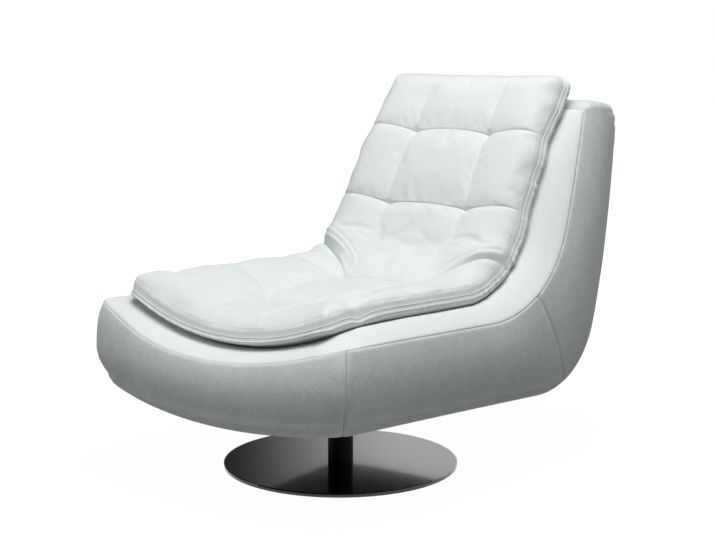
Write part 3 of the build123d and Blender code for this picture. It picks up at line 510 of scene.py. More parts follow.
    def _depth_at(self, p: float) -> float:
        """Distance from the seam through the shell to its outside.

        Args:
            p: length along the seam.

        Returns:
            The depth along the section.
        """
        y, z, _ = (float(v) for v in self.seam(p))
        angle = float(self.section_slope(p))
        dy, dz = math.sin(angle), -math.cos(angle)
        fall, lean = math.tan(self.under_tilt), math.tan(self.rear_lean)
        corner_z = self.under_z - fall * self.outer_corner_y
        turn = QUARTER - self.rear_lean + self.under_tilt
        reach = self.outer_corner_radius * math.tan(turn / 2)
        under_y = self.outer_corner_y - reach * math.cos(self.under_tilt)
        rear_z = corner_z + reach * math.cos(self.rear_lean)
        centre_y = under_y + self.outer_corner_radius * math.sin(self.under_tilt)
        centre_z = self.under_z - fall * under_y + self.outer_corner_radius * math.cos(self.under_tilt)
        to_under = (self.under_z - fall * y - z) / (dz + fall * dy)
        if to_under > 0 and y + to_under * dy <= under_y:
            return to_under
        to_rear = (self.outer_corner_y + (z - corner_z) * lean - y) / (dy - lean * dz)
        if to_rear > 0 and z + to_rear * dz >= rear_z:
            return to_rear
        along = (y - centre_y) * dy + (z - centre_z) * dz
        apart = (y - centre_y) ** 2 + (z - centre_z) ** 2
        return -along + math.sqrt(max(0.0, along ** 2 - apart + self.outer_corner_radius ** 2))

    def roll(self, p: np.ndarray) -> np.ndarray:
        """Share of the roll towards the top of the back, from 0 to about a half at the last section."""
        lean = np.clip((p - self.top_end + self.top_roll) / self.top_roll, 0, 1) * self.roll_share
        return 1 - np.sqrt(1 - lean ** 2)

    def edge(self, p: np.ndarray) -> np.ndarray:
        """Radius of the rounded outer edge at p."""
        return np.interp(p, *self._edge)

    def depth(self, p: np.ndarray) -> np.ndarray:
        """Depth of the shell at p."""
        return np.interp(p, *self._deep) - self.roll_depth * self.roll(p)

    def half(self, p: np.ndarray) -> np.ndarray:
        """Half width of the shell at its side seam."""
        return np.interp(p, *self._half)

    def rim(self, p: np.ndarray) -> np.ndarray:
        """Height of the padded rim of the deck."""
        return np.interp(p, *self._rim)

    def dish(self, p: np.ndarray) -> np.ndarray:
        """Height of the middle of the deck."""
        return np.interp(p, *self._dish)

    def crown(self, p: np.ndarray) -> np.ndarray:
        """Crown of the underside and outside back."""
        return np.interp(p, *self._crown)

    def rest(self, p: np.ndarray) -> np.ndarray:
        """Half width at which the edge of the pad lies."""
        return np.interp(p, *self._rest)

    def front_p(self, v: np.ndarray) -> np.ndarray:
        """Seam length of the bowed front seam at share v of the half width."""
        return self.corner_p + (self.middle_p - self.corner_p) * (1 - np.abs(v) ** self.front_bow)

    def deck(self, p: np.ndarray, v: np.ndarray) -> np.ndarray:
        """Height of the deck.

        Args:
            p: lengths along the seam.
            v: shares of the half width.

        Returns:
            Heights out of the seam.
        """
        w, rest = self.half(p), self.rest(p)
        x = np.abs(v) * w
        inner = self.dish(p) + (self.rim(p) - self.dish(p)) * np.minimum(x / rest, 1.0) ** 2
        share = np.clip((x - rest) / np.maximum(w - rest, self.shoulder_least), 0, 1)
        shoulder = self.rim(p) * np.cos(share * QUARTER) ** self.shoulder_shape
        height = np.where(x < rest, inner, shoulder)
        rise = np.sin(np.clip((p - self.front_p(v)) / self.front_rise, 0, 1) * QUARTER)
        seam = -self.front_dip * (1 - v ** 2)
        height = seam + (height - seam) * rise
        top = np.clip((self.top_end - p) / self.top_rise, 0, 1)
        return height - self.top_drop * (1 - np.abs(v) ** self.top_square) * (1 - np.sin(top * QUARTER))

    def wrap(self, q: np.ndarray, straight: np.ndarray, radius: np.ndarray) -> tuple[np.ndarray, np.ndarray]:
        """Lay a band down a straight side and round its lower edge.

        Args:
            q: shares of the way down the band.
            straight: length of the straight side.
            radius: radius of the lower edge.

        Returns:
            Shares of the straight side that are done, and angles of the rounding.
        """
        share = straight / (straight + radius * QUARTER)
        return np.clip(q / share, 0, 1), np.clip((q - share) / (1 - share), 0, 1) * QUARTER

    def ring(self, p: np.ndarray, q: np.ndarray) -> tuple[np.ndarray, np.ndarray]:
        """Outer side of the shell from the seam, q 0, round the lower edge to the underside, q 1.

        Args:
            p: lengths along the seam.
            q: shares of the way down the band.

        Returns:
            Distances from the middle and heights.
        """
        radius = self.edge(p)
        straight = self.depth(p) - radius
        tuck_in = self.side_tuck + self.roll_tuck * self.roll(p)
        s, a = self.wrap(q, straight, radius)
        x = self.half(p) + 4 * self.side_bulge * s * (1 - s) - tuck_in * s ** self.tuck_shape
        return x - radius * (1 - np.cos(a)), -s * straight - radius * np.sin(a)

    def front_wrap(self, q: np.ndarray) -> tuple[np.ndarray, np.ndarray]:
        """Shares and angles down the front, which is as deep as the section at its seam."""
        radius = float(self.edge(0.0))
        return self.wrap(q, float(self.depth(0.0)) - radius, radius)

    def rounded(self, along: np.ndarray, turn: float) -> np.ndarray:
        """Draw-in of a band near the rounded front corner.

        Args:
            along: distance along the band from the corner seam.
            turn: part of the rounding, as an angle, that this band covers.

        Returns:
            Distance back from the square corner.
        """
        lean = np.clip(math.sin(turn) - along / self.corner_round, 0, math.sin(turn) + self.corner_slack)
        return self.corner_round * (1 - np.sqrt(1 - lean ** 2))

    def plan_half(self, p: np.ndarray) -> np.ndarray:
        """Half width of the shell with its rounded front corner."""
        return self.half(p) - self.rounded(p - self.corner_p - self.front_cut, QUARTER - self.corner_turn)

    def plan_front(self, v: np.ndarray) -> np.ndarray:
        """Seam length of the bowed front seam with its rounded ends."""
        return self.front_p(v) + self.rounded((1 - np.abs(v)) * self.seat_half, self.corner_turn)


def tuck(grid: np.ndarray, edges: dict[str, np.ndarray | None]) -> np.ndarray:
    """Draw the edges of a panel in towards the seams.

    Args:
        grid: outer points of the panel.
        edges: for each edge, the outward direction of its seam, or None for a level join.

    Returns:
        The moved points.
    """
    own = normals_of(grid)
    moved = grid.copy()
    for side, given in edges.items():
        way = unit(own if given is None else np.broadcast_to(given, grid.shape))
        near = np.exp(-(edge_distance(grid, side) / SEAM_WIDTH) ** SEAM_SHAPE)
        moved -= way * (SEAM_DEPTH * near)[..., None]
    return moved


@dataclass(frozen=True)
class Wrinkles:
    """A patch of small soft wrinkles on the sitter's left, in metres."""

    centre: Triple
    run: Triple
    wave: float
    reach: float
    height: float
    seed: int
    edge_fade: float = 0.005
    wander: float = 0.35
    wander_rate: float = 60.0
    sharpness: float = 0.7
    mean: float = 0.6

    def on(self, side: Side) -> "Wrinkles":
        """The same patch on one side of the chair.

        Args:
            side: the side of the chair.

        Returns:
            The patch on that side.
        """
        flip = (side.value, 1.0, 1.0)
        centre = tuple(a * b for a, b in zip(self.centre, flip))
        return replace(self, centre=centre, run=tuple(a * b for a, b in zip(self.run, flip)))

    def press(self, grid: np.ndarray) -> np.ndarray:
        """Add the wrinkles to a panel.

        Args:
            grid: points of the panel.

        Returns:
            The moved points.
        """
        rng = np.random.default_rng(self.seed)
        away = grid - np.array(self.centre)
        across = away @ (np.array(self.run) / np.linalg.norm(self.run))
        turns = away @ rng.normal(size=3) * self.wander_rate + rng.uniform(0, 6)
        wander = self.wander * self.wave * np.sin(turns)
        inside = np.clip(edge_distance(grid) / self.edge_fade, 0, 1)
        fade = bell(np.linalg.norm(away, axis=2), self.reach) * inside
        crease = np.abs(np.sin(math.pi * (across + wander) / self.wave)) ** self.sharpness - self.mean
        return grid + normals_of(grid) * (self.height * crease * fade)[..., None]


FRONT_WRINKLES = Wrinkles((0.312, -0.360, 0.27), (0.5, 0.0, 1.0), 0.034, 0.05, 0.0016, 3)
CORNER_WRINKLES = Wrinkles((0.335, -0.335, 0.24), (0.0, 0.4, 1.0), 0.026, 0.035, 0.0011, 7)
REAR_WRINKLES = Wrinkles((0.275, 0.655, 0.71), (0.0, 0.2, 1.0), 0.022, 0.050, 0.0045, 8)


@dataclass(frozen=True)
class FullCorner:
    """The front corner on the sitter's right, which is stuffed more tightly, in metres."""

    at: tuple[float, float] = (-0.334, -0.360)
    reach: float = 0.085
    low: float = 0.19
    rise: float = 0.13
    upper_push: Triple = (-0.010, -0.004, 0.019)
    belly: float = 0.240
    belly_reach: float = 0.034
    lower_push: Triple = (-0.009, -0.005, 0.0)

    def plump(self, grid: np.ndarray) -> np.ndarray:
        """Plump up the padding near the corner.

        Args:
            grid: points of a panel.

        Returns:
            The moved points.
        """
        away = np.hypot(grid[..., 0] - self.at[0], grid[..., 1] - self.at[1])
        near = np.exp(-0.5 * (away / self.reach) ** 2)
        upper = near * eased((grid[..., 2] - self.low) / self.rise)
        lower = near * bell(grid[..., 2] - self.belly, self.belly_reach)
        pushed = grid + upper[..., None] * np.array(self.upper_push)
        return pushed + lower[..., None] * np.array(self.lower_push)


@dataclass
class ShellCover:
    """The upholstered shell: deck, bands, outside back and dust cloth, with sizes in metres."""

    form: ShellForm
    corner: FullCorner
    cloth: bpy.types.Material
    # Lighter copy of the shell's suede for the deck: painted light, the same fabric made brighter.
    lit_deck_cloth: bpy.types.Material
    thread: bpy.types.Material
    dust: bpy.types.Material
    step: float = 0.009
    back_step: float = 0.012
    thick: float = 0.010
    fill: float = 0.9
    deck_size: tuple[float, float] = (1.11, 0.668)
    front_size: tuple[float, float] = (0.20, 0.65)
    side_height: float = 0.22
    top_size: tuple[float, float] = (0.20, 0.55)
    back_size: tuple[float, float] = (0.60, 0.55)
    front_swell: float = 0.012
    stitch_inset: float = 0.0075
    stitch_span: tuple[int, int] = (4, -6)
    top_bend: float = 0.036
    top_ends: float = 0.026
    top_lift: float = 0.021
    top_margin: int = 4
    dust_rows: int = 60
    dust_cols: int = 61
    dust_lap: float = 0.004
    dust_side_lap: float = 0.003
    dust_lift: float = 0.0032
    dust_flat: float = 0.35
    dust_seed: int = 11
    dust_waves: int = 14
    dust_rate: float = 45.0
    dust_wave: float = 0.00035
    dust_thick: float = 0.0012
    hole_gap: float = 0.012
    hole_pull: float = 0.007
    hole_inner: float = 0.001
    hole_outer: float = 0.010

    def build(self) -> None:
        """Make every panel of the shell."""
        self.deck()
        self.front()
        for side in Side:
            for part in ("seat", "back"):
                self.band(side, part)
        self.top()
        self.outside_back()
        self.underside()

    def _ahead(self) -> np.ndarray:
        """Direction in which the top band rises from the last section."""
        angle = float(self.form.section_slope(self.form.top_end))
        return np.array([0.0, math.cos(angle), math.sin(angle)])

    def _panel(
        self, piece: bpy.types.Object, nodes: tuple[str, ...], cloth: bpy.types.Material | None = None
    ) -> None:
        """Finish a padded panel.

        Args:
            piece: the panel.
            nodes: construction nodes that it takes the place of.
            cloth: its cloth, if it isn't the shell's; the deck's is a lighter copy of the shell's suede, as
                painted light.
        """
        dress(piece, cloth or self.cloth, nodes)

    def _lines(self, size: tuple[float, float], step: float) -> tuple[np.ndarray, np.ndarray]:
        """Grid lines of a panel: shares down it, and shares across it from left to right."""
        return edge_steps(size[0], step)[:, None], (1 - 2 * edge_steps(size[1], step))[None, :]

    def deck(self) -> None:
        """The dished deck that the pad lies on, in a lighter copy of the shell's suede, which paints light
        onto it.
        """
        form = self.form
        t, v = self._lines(self.deck_size, self.step)
        first = form.plan_front(v)
        p = first + t * (form.top_end - first)
        grid = self.corner.plump(form.place(p, v * form.plan_half(p), form.deck(p, v)))
        side = np.sign(v)[..., None] * ACROSS + form.up(p)
        grid = tuck(grid, {"N": FORWARD + UP, "S": self._ahead() + form.up(p), "W": side, "E": side})
        piece = closed_panel("deck_panel", grid, self.thick)
        # The deck takes the lighter copy of the suede, painted light.
        self._panel(piece, ("deck_cover", "seat_foam", "back_foam"), self.lit_deck_cloth)

    def _swell(self, s: np.ndarray) -> np.ndarray:
        """Forward swell of the front at share s down its straight side."""
        return 4 * self.front_swell * s * (1 - s)

    def front(self) -> None:
        """The bowed front band with its rounded lower edge."""
        form = self.form
        q, v = self._lines(self.front_size, self.step)
        v = -v
        x_end, h_end = form.ring(np.array(form.corner_p), q)
        radius = float(form.edge(0.0))
        s, a = form.front_wrap(q)
        straight = float(form.depth(0.0)) + form.front_crown - form.front_dip - radius
        h_mid = -form.front_dip - s * straight - radius * np.sin(a)
        h = h_end + (h_mid - h_end) * (1 - v ** 2)
        p = form.plan_front(v) - self._swell(s) + radius * (1 - np.cos(a))
        grid = self.corner.plump(form.place(p, v * (x_end - form.side_cut), h))
        grid = FRONT_WRINKLES.on(Side.LEFT).press(grid)
        grid = replace(FRONT_WRINKLES.on(Side.RIGHT), seed=FRONT_WRINKLES.seed + 1).press(grid)
        side = FORWARD + np.sign(v)[..., None] * ACROSS
        grid = tuck(grid, {"N": FORWARD + UP, "W": side, "E": side})
        self._panel(closed_panel("front_band", grid, self.thick), ("front_border",))

    def _corner_seam(self, q: np.ndarray) -> np.ndarray:
        """Seam length of the upright front corner seam.

        Args:
            q: shares of the way down the band.

        Returns:
            Lengths along the side seam.
        """
        form = self.form
        s, a = form.front_wrap(q)
        return form.corner_p + form.front_cut - self._swell(s) + float(form.edge(0.0)) * (1 - np.cos(a))

    def band(self, side: Side, part: str) -> None:
        """One of the two bands of a side, which meet in a seam at the bend.

        Args:
            side: which side of the chair.
            part: seat or back.
        """
        form, seat = self.form, part == "seat"
        q = edge_steps(self.side_height, self.step)[None, :]
        start, end = self._corner_seam(q), form.bend_seam
        length = form.bend_seam
        if not seat:
            start, end = form.bend_seam + 0 * q, form.top_end
            length = form.top_end - form.bend_seam
        p = start + edge_steps(length, self.step)[:, None] * (end - start)
        x, h = form.ring(p, q)
        if seat:
            x = x - form.rounded(p - start, QUARTER - form.corner_turn)
        grid, up, out = form.place(p, x, h), form.up(p), side.value * ACROSS
        if side is Side.RIGHT:
            grid = self.corner.plump(grid * np.array([-1.0, 1.0, 1.0]))
            edges = {"W": up + out}
        else:
            grid = grid[:, ::-1]
            edges = {"E": up[:, ::-1] + out}
        edges["N"] = FORWARD + out if seat else None
        if seat:
            edges["S"] = None
        grid = tuck((CORNER_WRINKLES if seat else REAR_WRINKLES).on(side).press(grid), edges)
        name = side.name.lower()
        piece = closed_panel(f"side_band_{part}_{name}", grid, self.thick, level="" if seat else "S")
        self._panel(piece, ("side_border_" + name,))
        self._seam_stitches(f"stitches_{part}_{name}", grid, side)

    def _seam_stitches(self, name: str, grid: np.ndarray, side: Side) -> None:
        """Sew along the upright seam of a side band.

        Args:
            name: name of the run of stitches.
            grid: points of the band.
            side: its side of the chair.
        """
        away = edge_distance(grid, "N")
        row = int(np.argmin(np.abs(away[:, away.shape[1] // 2] - self.stitch_inset)))
        line, lift = grid[row], normals_of(grid)[row]
        if side is Side.LEFT:
            line, lift = line[::-1], lift[::-1]
        span = slice(*self.stitch_span)
        dress(SHELL_STITCH.run(name, line[span], lift[span]), self.thread)

    def top(self) -> None:
        """The band that closes the top of the back."""
        form = self.form
        end = np.array(form.top_end)
        q, v = self._lines(self.top_size, self.step)
        x_end, h_end = form.ring(end, q)
        low = float(form.deck(end, np.array(0.0)))
        high = -float(form.depth(end) + form.crown(end))
        h_mid = low + (high - low) * q
        grid = form.place(end, v * x_end, h_end + (h_mid - h_end) * (1 - v ** 2))
        bent = np.sin(np.clip(edge_distance(grid, "NS") / self.top_bend, 0, 1) * QUARTER)
        ends = np.clip(1 - edge_distance(grid, "WE") / self.top_ends, 0, 1)
        lift = self.top_lift * bent * np.sqrt(1 - ends ** 2)
        grid = grid + lift[..., None] * self._ahead()
        up = form.up(end)
        grid = tuck(grid, {"N": up + self._ahead(), "S": self._ahead() - up})
        self._panel(closed_panel("top_band", grid, self.thick, self.top_margin, "WE"), ("top_border",))

    def outside_back(self) -> None:
        """The outside of the back, from the lower corner to the top band."""
        form = self.form
        t, v = self._lines(self.back_size, self.back_step)
        v = -v
        p = form.split_p + t * (form.top_end - form.split_p)
        x = v * (form.half(p) - form.side_tuck - form.roll_tuck * form.roll(p) - form.edge(p))
        grid = form.place(p, x, -form.depth(p) - form.crown(p) * (1 - v ** 2))
        grid = tuck(grid, {"N": None, "S": self._ahead() - form.up(p), "W": None, "E": None})
        self._panel(closed_panel("outside_back_panel", grid, self.thick), ("outside_back",))

    def underside(self) -> None:
        """The black dust cloth under the seat, drawn flatter to the front."""
        form = self.form
        t = np.linspace(0, 1, self.dust_rows)[:, None]
        v = np.linspace(-1, 1, self.dust_cols)[None, :]
        first = form.front_p(v) + form.edge_radius - self.dust_lap
        p = first + t * (form.split_p + self.dust_lap - first)
        x = v * (form.half(p) - form.side_tuck - form.edge(p) + self.dust_side_lap)
        crown = form.crown(p) * (1 - v ** 2) * (self.dust_flat + (1 - self.dust_flat) * t)
        grid = form.place(p, x, -form.depth(p) - crown + self.dust_lift)
        rng = np.random.default_rng(self.dust_seed)
        for _ in range(self.dust_waves):
            wave = rng.normal(size=2) * self.dust_rate
            ripple = np.sin(grid[..., 0] * wave[0] + grid[..., 1] * wave[1] + rng.uniform(0, 6))
            grid[..., 2] += self.dust_wave * ripple
        self._round_hole(grid)

    def _round_hole(self, grid: np.ndarray) -> None:
        """Close the dust cloth round the column.

        Args:
            grid: points of the cloth.
        """
        low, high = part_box("column_tube")
        radius = math.hypot(high[0] - low[0], high[1] - low[1]) / math.sqrt(8) + self.hole_gap
        flat = grid.reshape(-1, 3).copy()
        away = np.linalg.norm(flat[:, :2], axis=1)
        near = (away < radius + self.hole_pull) & (away > 1e-6)
        flat[near, :2] *= (radius / away[near])[:, None]
        quads = np.array(grid_faces(*grid.shape[:2], 0, False))
        far = away[quads]
        kept = (far.min(axis=1) > radius + self.hole_inner) | (far.max(axis=1) > radius + self.hole_outer)
        piece = link_mesh("dust_cloth", flat, [tuple(quad) for quad in quads[kept].tolist()])
        thick = piece.modifiers.new("cloth", "SOLIDIFY")
        thick.thickness = self.dust_thick
        thick.offset = -1.0
        dress(piece, self.dust, ("dust_cover",))


@dataclass
class PadForm:
    """Plan, seams and thickness of the loose pad, in metres; near is the sitter's left, far the right."""

    front: float = 0.010
    end: float = 1.120
    end_sag: float = 0.006
    half_width: float = 0.266
    seat_boxing: float = 0.021
    back_boxing: float = 0.028
    boxing_p: tuple[float, float] = (0.44, 0.78)
    boxing_lip: float = 0.002
    back_narrowing: float = 0.009
    narrowing_p: tuple[float, float] = (0.62, 0.82)
    front_corner: float = 0.020
    top_corner: float = 0.027
    draw_in: float = 0.0045
    draw_width: float = 0.022
    sways: tuple[Triple, ...] = ((0.0012, 43.0, 0.0), (0.0009, 97.0, 1.3))
    tuft_p: tuple[float, ...] = (0.207, 0.484, 0.772, 0.957)
    edge_p: tuple[float, ...] = (0.290, 0.622, 0.785, 0.966)
    tuft_x: tuple[float, ...] = (0.080, 0.104, 0.108, 0.103)
    row_arch: float = 0.009
    row_bow: float = 0.006
    row_shape: float = 0.85
    seat_middle: float = 0.059
    back_middle: float = 0.063
    seat_sides: float = 0.068
    back_sides: float = 0.069
    near_drop: float = 0.0070
    seat_end: float = 0.62
    seat_blend: float = 0.16
    side_blend: float = 0.10
    side_lap: float = 0.02
    thinnest: float = 0.006
    seam_width: float = 0.0026
    row_share: tuple[float, ...] = (0.50, 1.0, 0.80, 0.80)
    row_line: float = 0.0042
    row_dip: float = 0.0048
    row_width: float = 0.026
    column_p: tuple[float, ...] = (0.484, 0.60, 0.75, 0.80)
    column_share: tuple[float, ...] = (0.7, 0.35, 0.35, 1.0)
    column_fade: float = 0.02
    column_least: float = 0.25
    column_line: float = 0.0020
    column_dip: float = 0.0018
    column_width: float = 0.030
    tuft_share: tuple[float, ...] = (2.1, 2.1, 1.0, 1.0)
    tuft_dip: float = 0.0085
    tuft_width: float = 0.013
    tuft_spread: float = 0.045
    spread_share: float = 0.3
    pleat: float = 0.0026
    pleat_start: float = 0.010
    pleat_width: float = 0.0050
    ridge_width: float = 0.012
    ridge_share: float = 0.5
    pleat_reach: tuple[float, ...] = (-0.060, 0.020, 0.024, 0.060)
    pleat_leans: Keys = ((-0.62, 0.8), (-0.12, 0.55), (0.45, 1.0), (1.0, 0.5))
    near_fold: float = 0.0340
    far_fold: float = 0.0230
    near_fold_width: float = 0.009
    far_fold_width: float = 0.014
    fold_lap: float = 0.010
    fold_shape: float = 1.2
    fold_at_edge: float = 0.45
    lip: float = 0.0060
    lip_at: float = -0.040
    lip_width: float = 0.030
    slack: float = 0.0150
    slack_at: float = -0.030
    slack_widths: tuple[float, float] = (0.070, 0.030)
    bend_dip: float = 0.005
    bend_dip_width: float = 0.050
    near_brow: float = 0.0050
    far_brow: float = 0.0020
    brow_at: float = 0.015
    brow_width: float = 0.011
    near_pucker: float = 0.0007
    far_pucker: float = 0.0018
    pucker_rates: tuple[float, float] = (290.0, 24.0)
    pucker_reach: float = 0.055
    notch: float = 0.35
    notch_p: float = 0.105
    notch_width: float = 0.024
    notch_run: float = 0.2
    notch_start: float = 0.5
    edge_round: float = 0.048
    edge_hold: float = 0.03
    hold_shape: float = 0.6
    overhang: float = 0.028
    overhang_reach: float = 0.060
    side_overhang: float = 0.006
    slide_p: tuple[float, ...] = (0.60, 0.72, 0.80, 0.98, 1.12)
    far_slide: tuple[float, ...] = (0.0, 0.006, 0.012, 0.008, 0.002)
    near_slide: tuple[float, ...] = (0.0, 0.0, 0.0, 0.003, 0.006)


PAD_CLOTH: dict[str, float | bool | str] = {
    "quality": 6,
    "mass": 0.25,
    "tension_stiffness": 20,
    "compression_stiffness": 20,
    "shear_stiffness": 8,
    "bending_stiffness": 0.2,
    "vertex_group_mass": "seams",
    "use_pressure": True,
    "uniform_pressure_force": 1.0,
    "shrink_min": -0.010,
}


def between(lines: np.ndarray, cell: np.ndarray, part: np.ndarray) -> np.ndarray:
    """Values a share of the way from the line before each point to the line after it.

    Args:
        lines: values of each line at every point.
        cell: number of the line before each point.
        part: share of the way to the next line.

    Returns:
        The values.
    """
    low = np.take_along_axis(lines, cell[None], 0)[0]
    high = np.take_along_axis(lines, np.minimum(cell + 1, len(lines) - 1)[None], 0)[0]
    return low + part * (high - low)


@dataclass
class LoungePad:
    """The loose tufted pad: a cloth top inflated between its seams, boxing, welt and stitches."""

    form: ShellForm
    pad: PadForm
    corner: FullCorner
    cloth: bpy.types.Material
    thread: bpy.types.Material
    step: float = 0.0055
    fill: float = 0.75
    under_gap: float = 0.0015
    passes: int = 4
    column_hold: float = 0.7
    frames: int = 20
    move_cap: float = 0.006
    wall_rows: int = 20
    wall_swell: float = 0.0060
    wall_turn: float = 0.40
    groove: float = 0.0012
    groove_width: float = 0.06
    grooves: tuple[float, ...] = (0.20, 0.45)
    stitch_rings: tuple[int, ...] = (3, 8)
    stitch_sink: float = 0.0004
    stitch_margin: int = 4
    gather: float = 0.0013
    gather_seed: int = 5
    gather_waves: int = 16
    gather_lengths: tuple[float, float] = (0.007, 0.030)
    gather_mix: float = 5.0
    bend_gather: float = 0.0022
    bend_gather_p: float = 0.57
    bend_gather_reach: float = 0.09
    welt: float = 0.0010
    welt_out: float = 0.0006
    welt_lean: float = 0.3
    welt_turns: int = 8

    def __post_init__(self) -> None:
        """Lay out a grid whose lines follow the seams of the pad."""
        pad = self.pad
        stops = (pad.front, *pad.tuft_p, pad.end)
        row_cell, row_part, self.seam_rows = self._cells([b - a for a, b in zip(stops, stops[1:])])
        column = pad.tuft_x[2]
        side = pad.half_width - column
        col_cell, col_part, self.seam_cols = self._cells([side, 2 * column, side])
        shape = (len(row_cell), len(col_cell))
        rows = np.broadcast_to(row_cell[:, None], shape)
        cols = np.broadcast_to(col_cell, shape)
        plain = np.array(stops)[:, None, None] + np.zeros((1, *shape))
        self.p = between(plain, rows, row_part[:, None])
        for _ in range(self.passes):
            half, line = self.half(self.p), self.column_line(self.p)
            self.x = between(np.stack([half, line, -line, -half]), cols, col_part)
            far_end = pad.end - pad.end_sag * (1 - (self.x / self.form.rest(self.p)) ** 2)
            lines = np.stack([np.full(shape, pad.front), *self.row_lines(self.x), far_end])
            self.p = between(lines, rows, row_part[:, None])

    def _cells(self, lengths: list[float]) -> tuple[np.ndarray, np.ndarray, list[int]]:
        """Grid lines of the cells between the seams.

        Args:
            lengths: length of each cell.

        Returns:
            Cell number and share along the cell for each line, and the lines that are seams.
        """
        number, share, seams = [], [], []
        for cell, length in enumerate(lengths):
            steps = edge_steps(length, self.step)
            steps = steps if cell == len(lengths) - 1 else steps[:-1]
            if cell:
                seams.append(len(number))
            number += [cell] * len(steps)
            share += steps.tolist()
        return np.array(number), np.array(share), seams

    def half(self, p: np.ndarray) -> np.ndarray:
        """Half width of the pad with its rounded corners.

        Args:
            p: lengths along the pad.

        Returns:
            Half widths.
        """
        pad, full = self.pad, self.form.rest(p)
        cut = np.zeros_like(full)
        for radius, away in ((pad.front_corner, p - pad.front), (pad.top_corner, pad.end - p)):
            lean = np.clip(1 - away / radius, 0, 1)
            cut = cut + radius * (1 - np.sqrt(1 - lean ** 2))
        for seam in (pad.notch_p, *pad.edge_p[1:]):
            cut = cut + pad.draw_in * bell(p - seam, pad.draw_width)
        cut = cut + np.interp(p, pad.narrowing_p, (0.0, pad.back_narrowing))
        sway = sum(size * np.sin(p * rate + start) for size, rate, start in pad.sways)
        return full - cut + sway

    def bottom(self, p: np.ndarray, x: np.ndarray) -> np.ndarray:
        """Height of the underside, just above the deck."""
        form = self.form
        return form.dish(p) + (form.rim(p) - form.dish(p)) * (x / form.rest(p)) ** 2 + self.under_gap

    def row_lines(self, x: np.ndarray) -> list[np.ndarray]:
        """Lengths along the pad of its tuft rows.

        Args:
            x: distances from the middle.

        Returns:
            One array for each row.
        """
        pad, lines = self.pad, []
        for tuft, edge, column in zip(pad.tuft_p, pad.edge_p, pad.tuft_x):
            inside = np.clip(np.abs(x) / column, 0, 1)
            outside = np.clip((np.abs(x) - column) / (self.form.rest(edge) - column), 0, 1)
            bow = pad.row_arch * (1 - inside ** 2) + pad.row_bow * np.sin(math.pi * outside)
            lines.append(tuft + (edge - tuft) * outside ** pad.row_shape + bow)
        return lines

    def column_line(self, p: np.ndarray) -> np.ndarray:
        """Distance of the tuft columns from the middle."""
        return np.interp(p, self.pad.tuft_p, self.pad.tuft_x)

    def _stuffing(self) -> np.ndarray:
        """Full thickness of the pad away from seams and edges.

        Returns:
            Thickness in metres.
        """
        pad, p, x = self.pad, self.p, self.x
        outer = eased((np.abs(x) - self.column_line(p) + pad.side_lap) / pad.side_blend)
        seat = np.clip((pad.seat_end - p) / pad.seat_blend, 0, 1)
        middle = pad.back_middle + (pad.seat_middle - pad.back_middle) * seat
        drop = np.where(x > 0, pad.near_drop, 0)
        sides = pad.back_sides + (pad.seat_sides - pad.back_sides - drop) * seat
        return middle + (sides - middle) * outer

    def _quilting(self, lines: list[np.ndarray]) -> np.ndarray:
        """Depth of the seams and tufts below the plain pad.

        Args:
            lines: lengths along the pad of its tuft rows.

        Returns:
            The depth.
        """
        pad, p, x = self.pad, self.p, self.x
        across = np.abs(np.abs(x) - self.column_line(p))
        first = np.clip((p - pad.tuft_p[0]) / pad.column_fade, pad.column_least, 1)
        last = np.clip((pad.tuft_p[-1] - p + pad.column_fade) / pad.column_fade, pad.column_least, 1)
        column = pad.column_line * np.exp(-across / pad.seam_width)
        column = column + pad.column_dip * np.exp(-across / pad.column_width)
        deep = first * last * np.interp(p, pad.column_p, pad.column_share) * column
        for line, share in zip(lines, pad.row_share):
            away = np.abs(p - line)
            row = pad.row_line * np.exp(-away / pad.seam_width) + pad.row_dip * np.exp(-away / pad.row_width)
            deep = deep + share * row
        for place, side, share, reach in zip(pad.tuft_p, pad.tuft_x, pad.tuft_share, pad.pleat_reach):
            deep = deep + self._tuft(p - place, np.abs(x) - side, share, reach)
        return deep

    def _bend_folds(self, bend: np.ndarray) -> tuple[np.ndarray, np.ndarray]:
        """Folds of the pad where the seat meets the back.

        Args:
            bend: distance along the pad past the seam of the bend.

        Returns:
            Depth of the soft folds, and depth of the creases, which also cut the edge.
        """
        pad, near = self.pad, self.x > 0
        aside = np.abs(self.x)
        share = np.clip((aside - self.column_line(self.p) + pad.fold_lap) / pad.side_blend, 0, 1)
        folded = share ** pad.fold_shape
        width = np.where(near, pad.near_fold_width, pad.far_fold_width)
        crease = folded * np.where(near, pad.near_fold, pad.far_fold) * np.exp(-np.abs(bend) / width)
        lip = pad.lip * bell(bend - pad.lip_at, pad.lip_width)
        slack = pad.slack * bell(bend - pad.slack_at, np.where(bend < pad.slack_at, *pad.slack_widths))
        turns = bend * pad.pucker_rates[0] + pad.pucker_rates[1] * aside
        pucker = np.where(near, pad.near_pucker, pad.far_pucker) * np.sin(turns)
        brow = np.where(near, pad.near_brow, pad.far_brow) * bell(bend - pad.brow_at, pad.brow_width)
        side = np.where(near, -lip, slack) + pucker * bell(bend, pad.pucker_reach) - brow
        dip = pad.bend_dip * (1 - folded) * bell(bend, pad.bend_dip_width)
        return folded * side + dip, crease

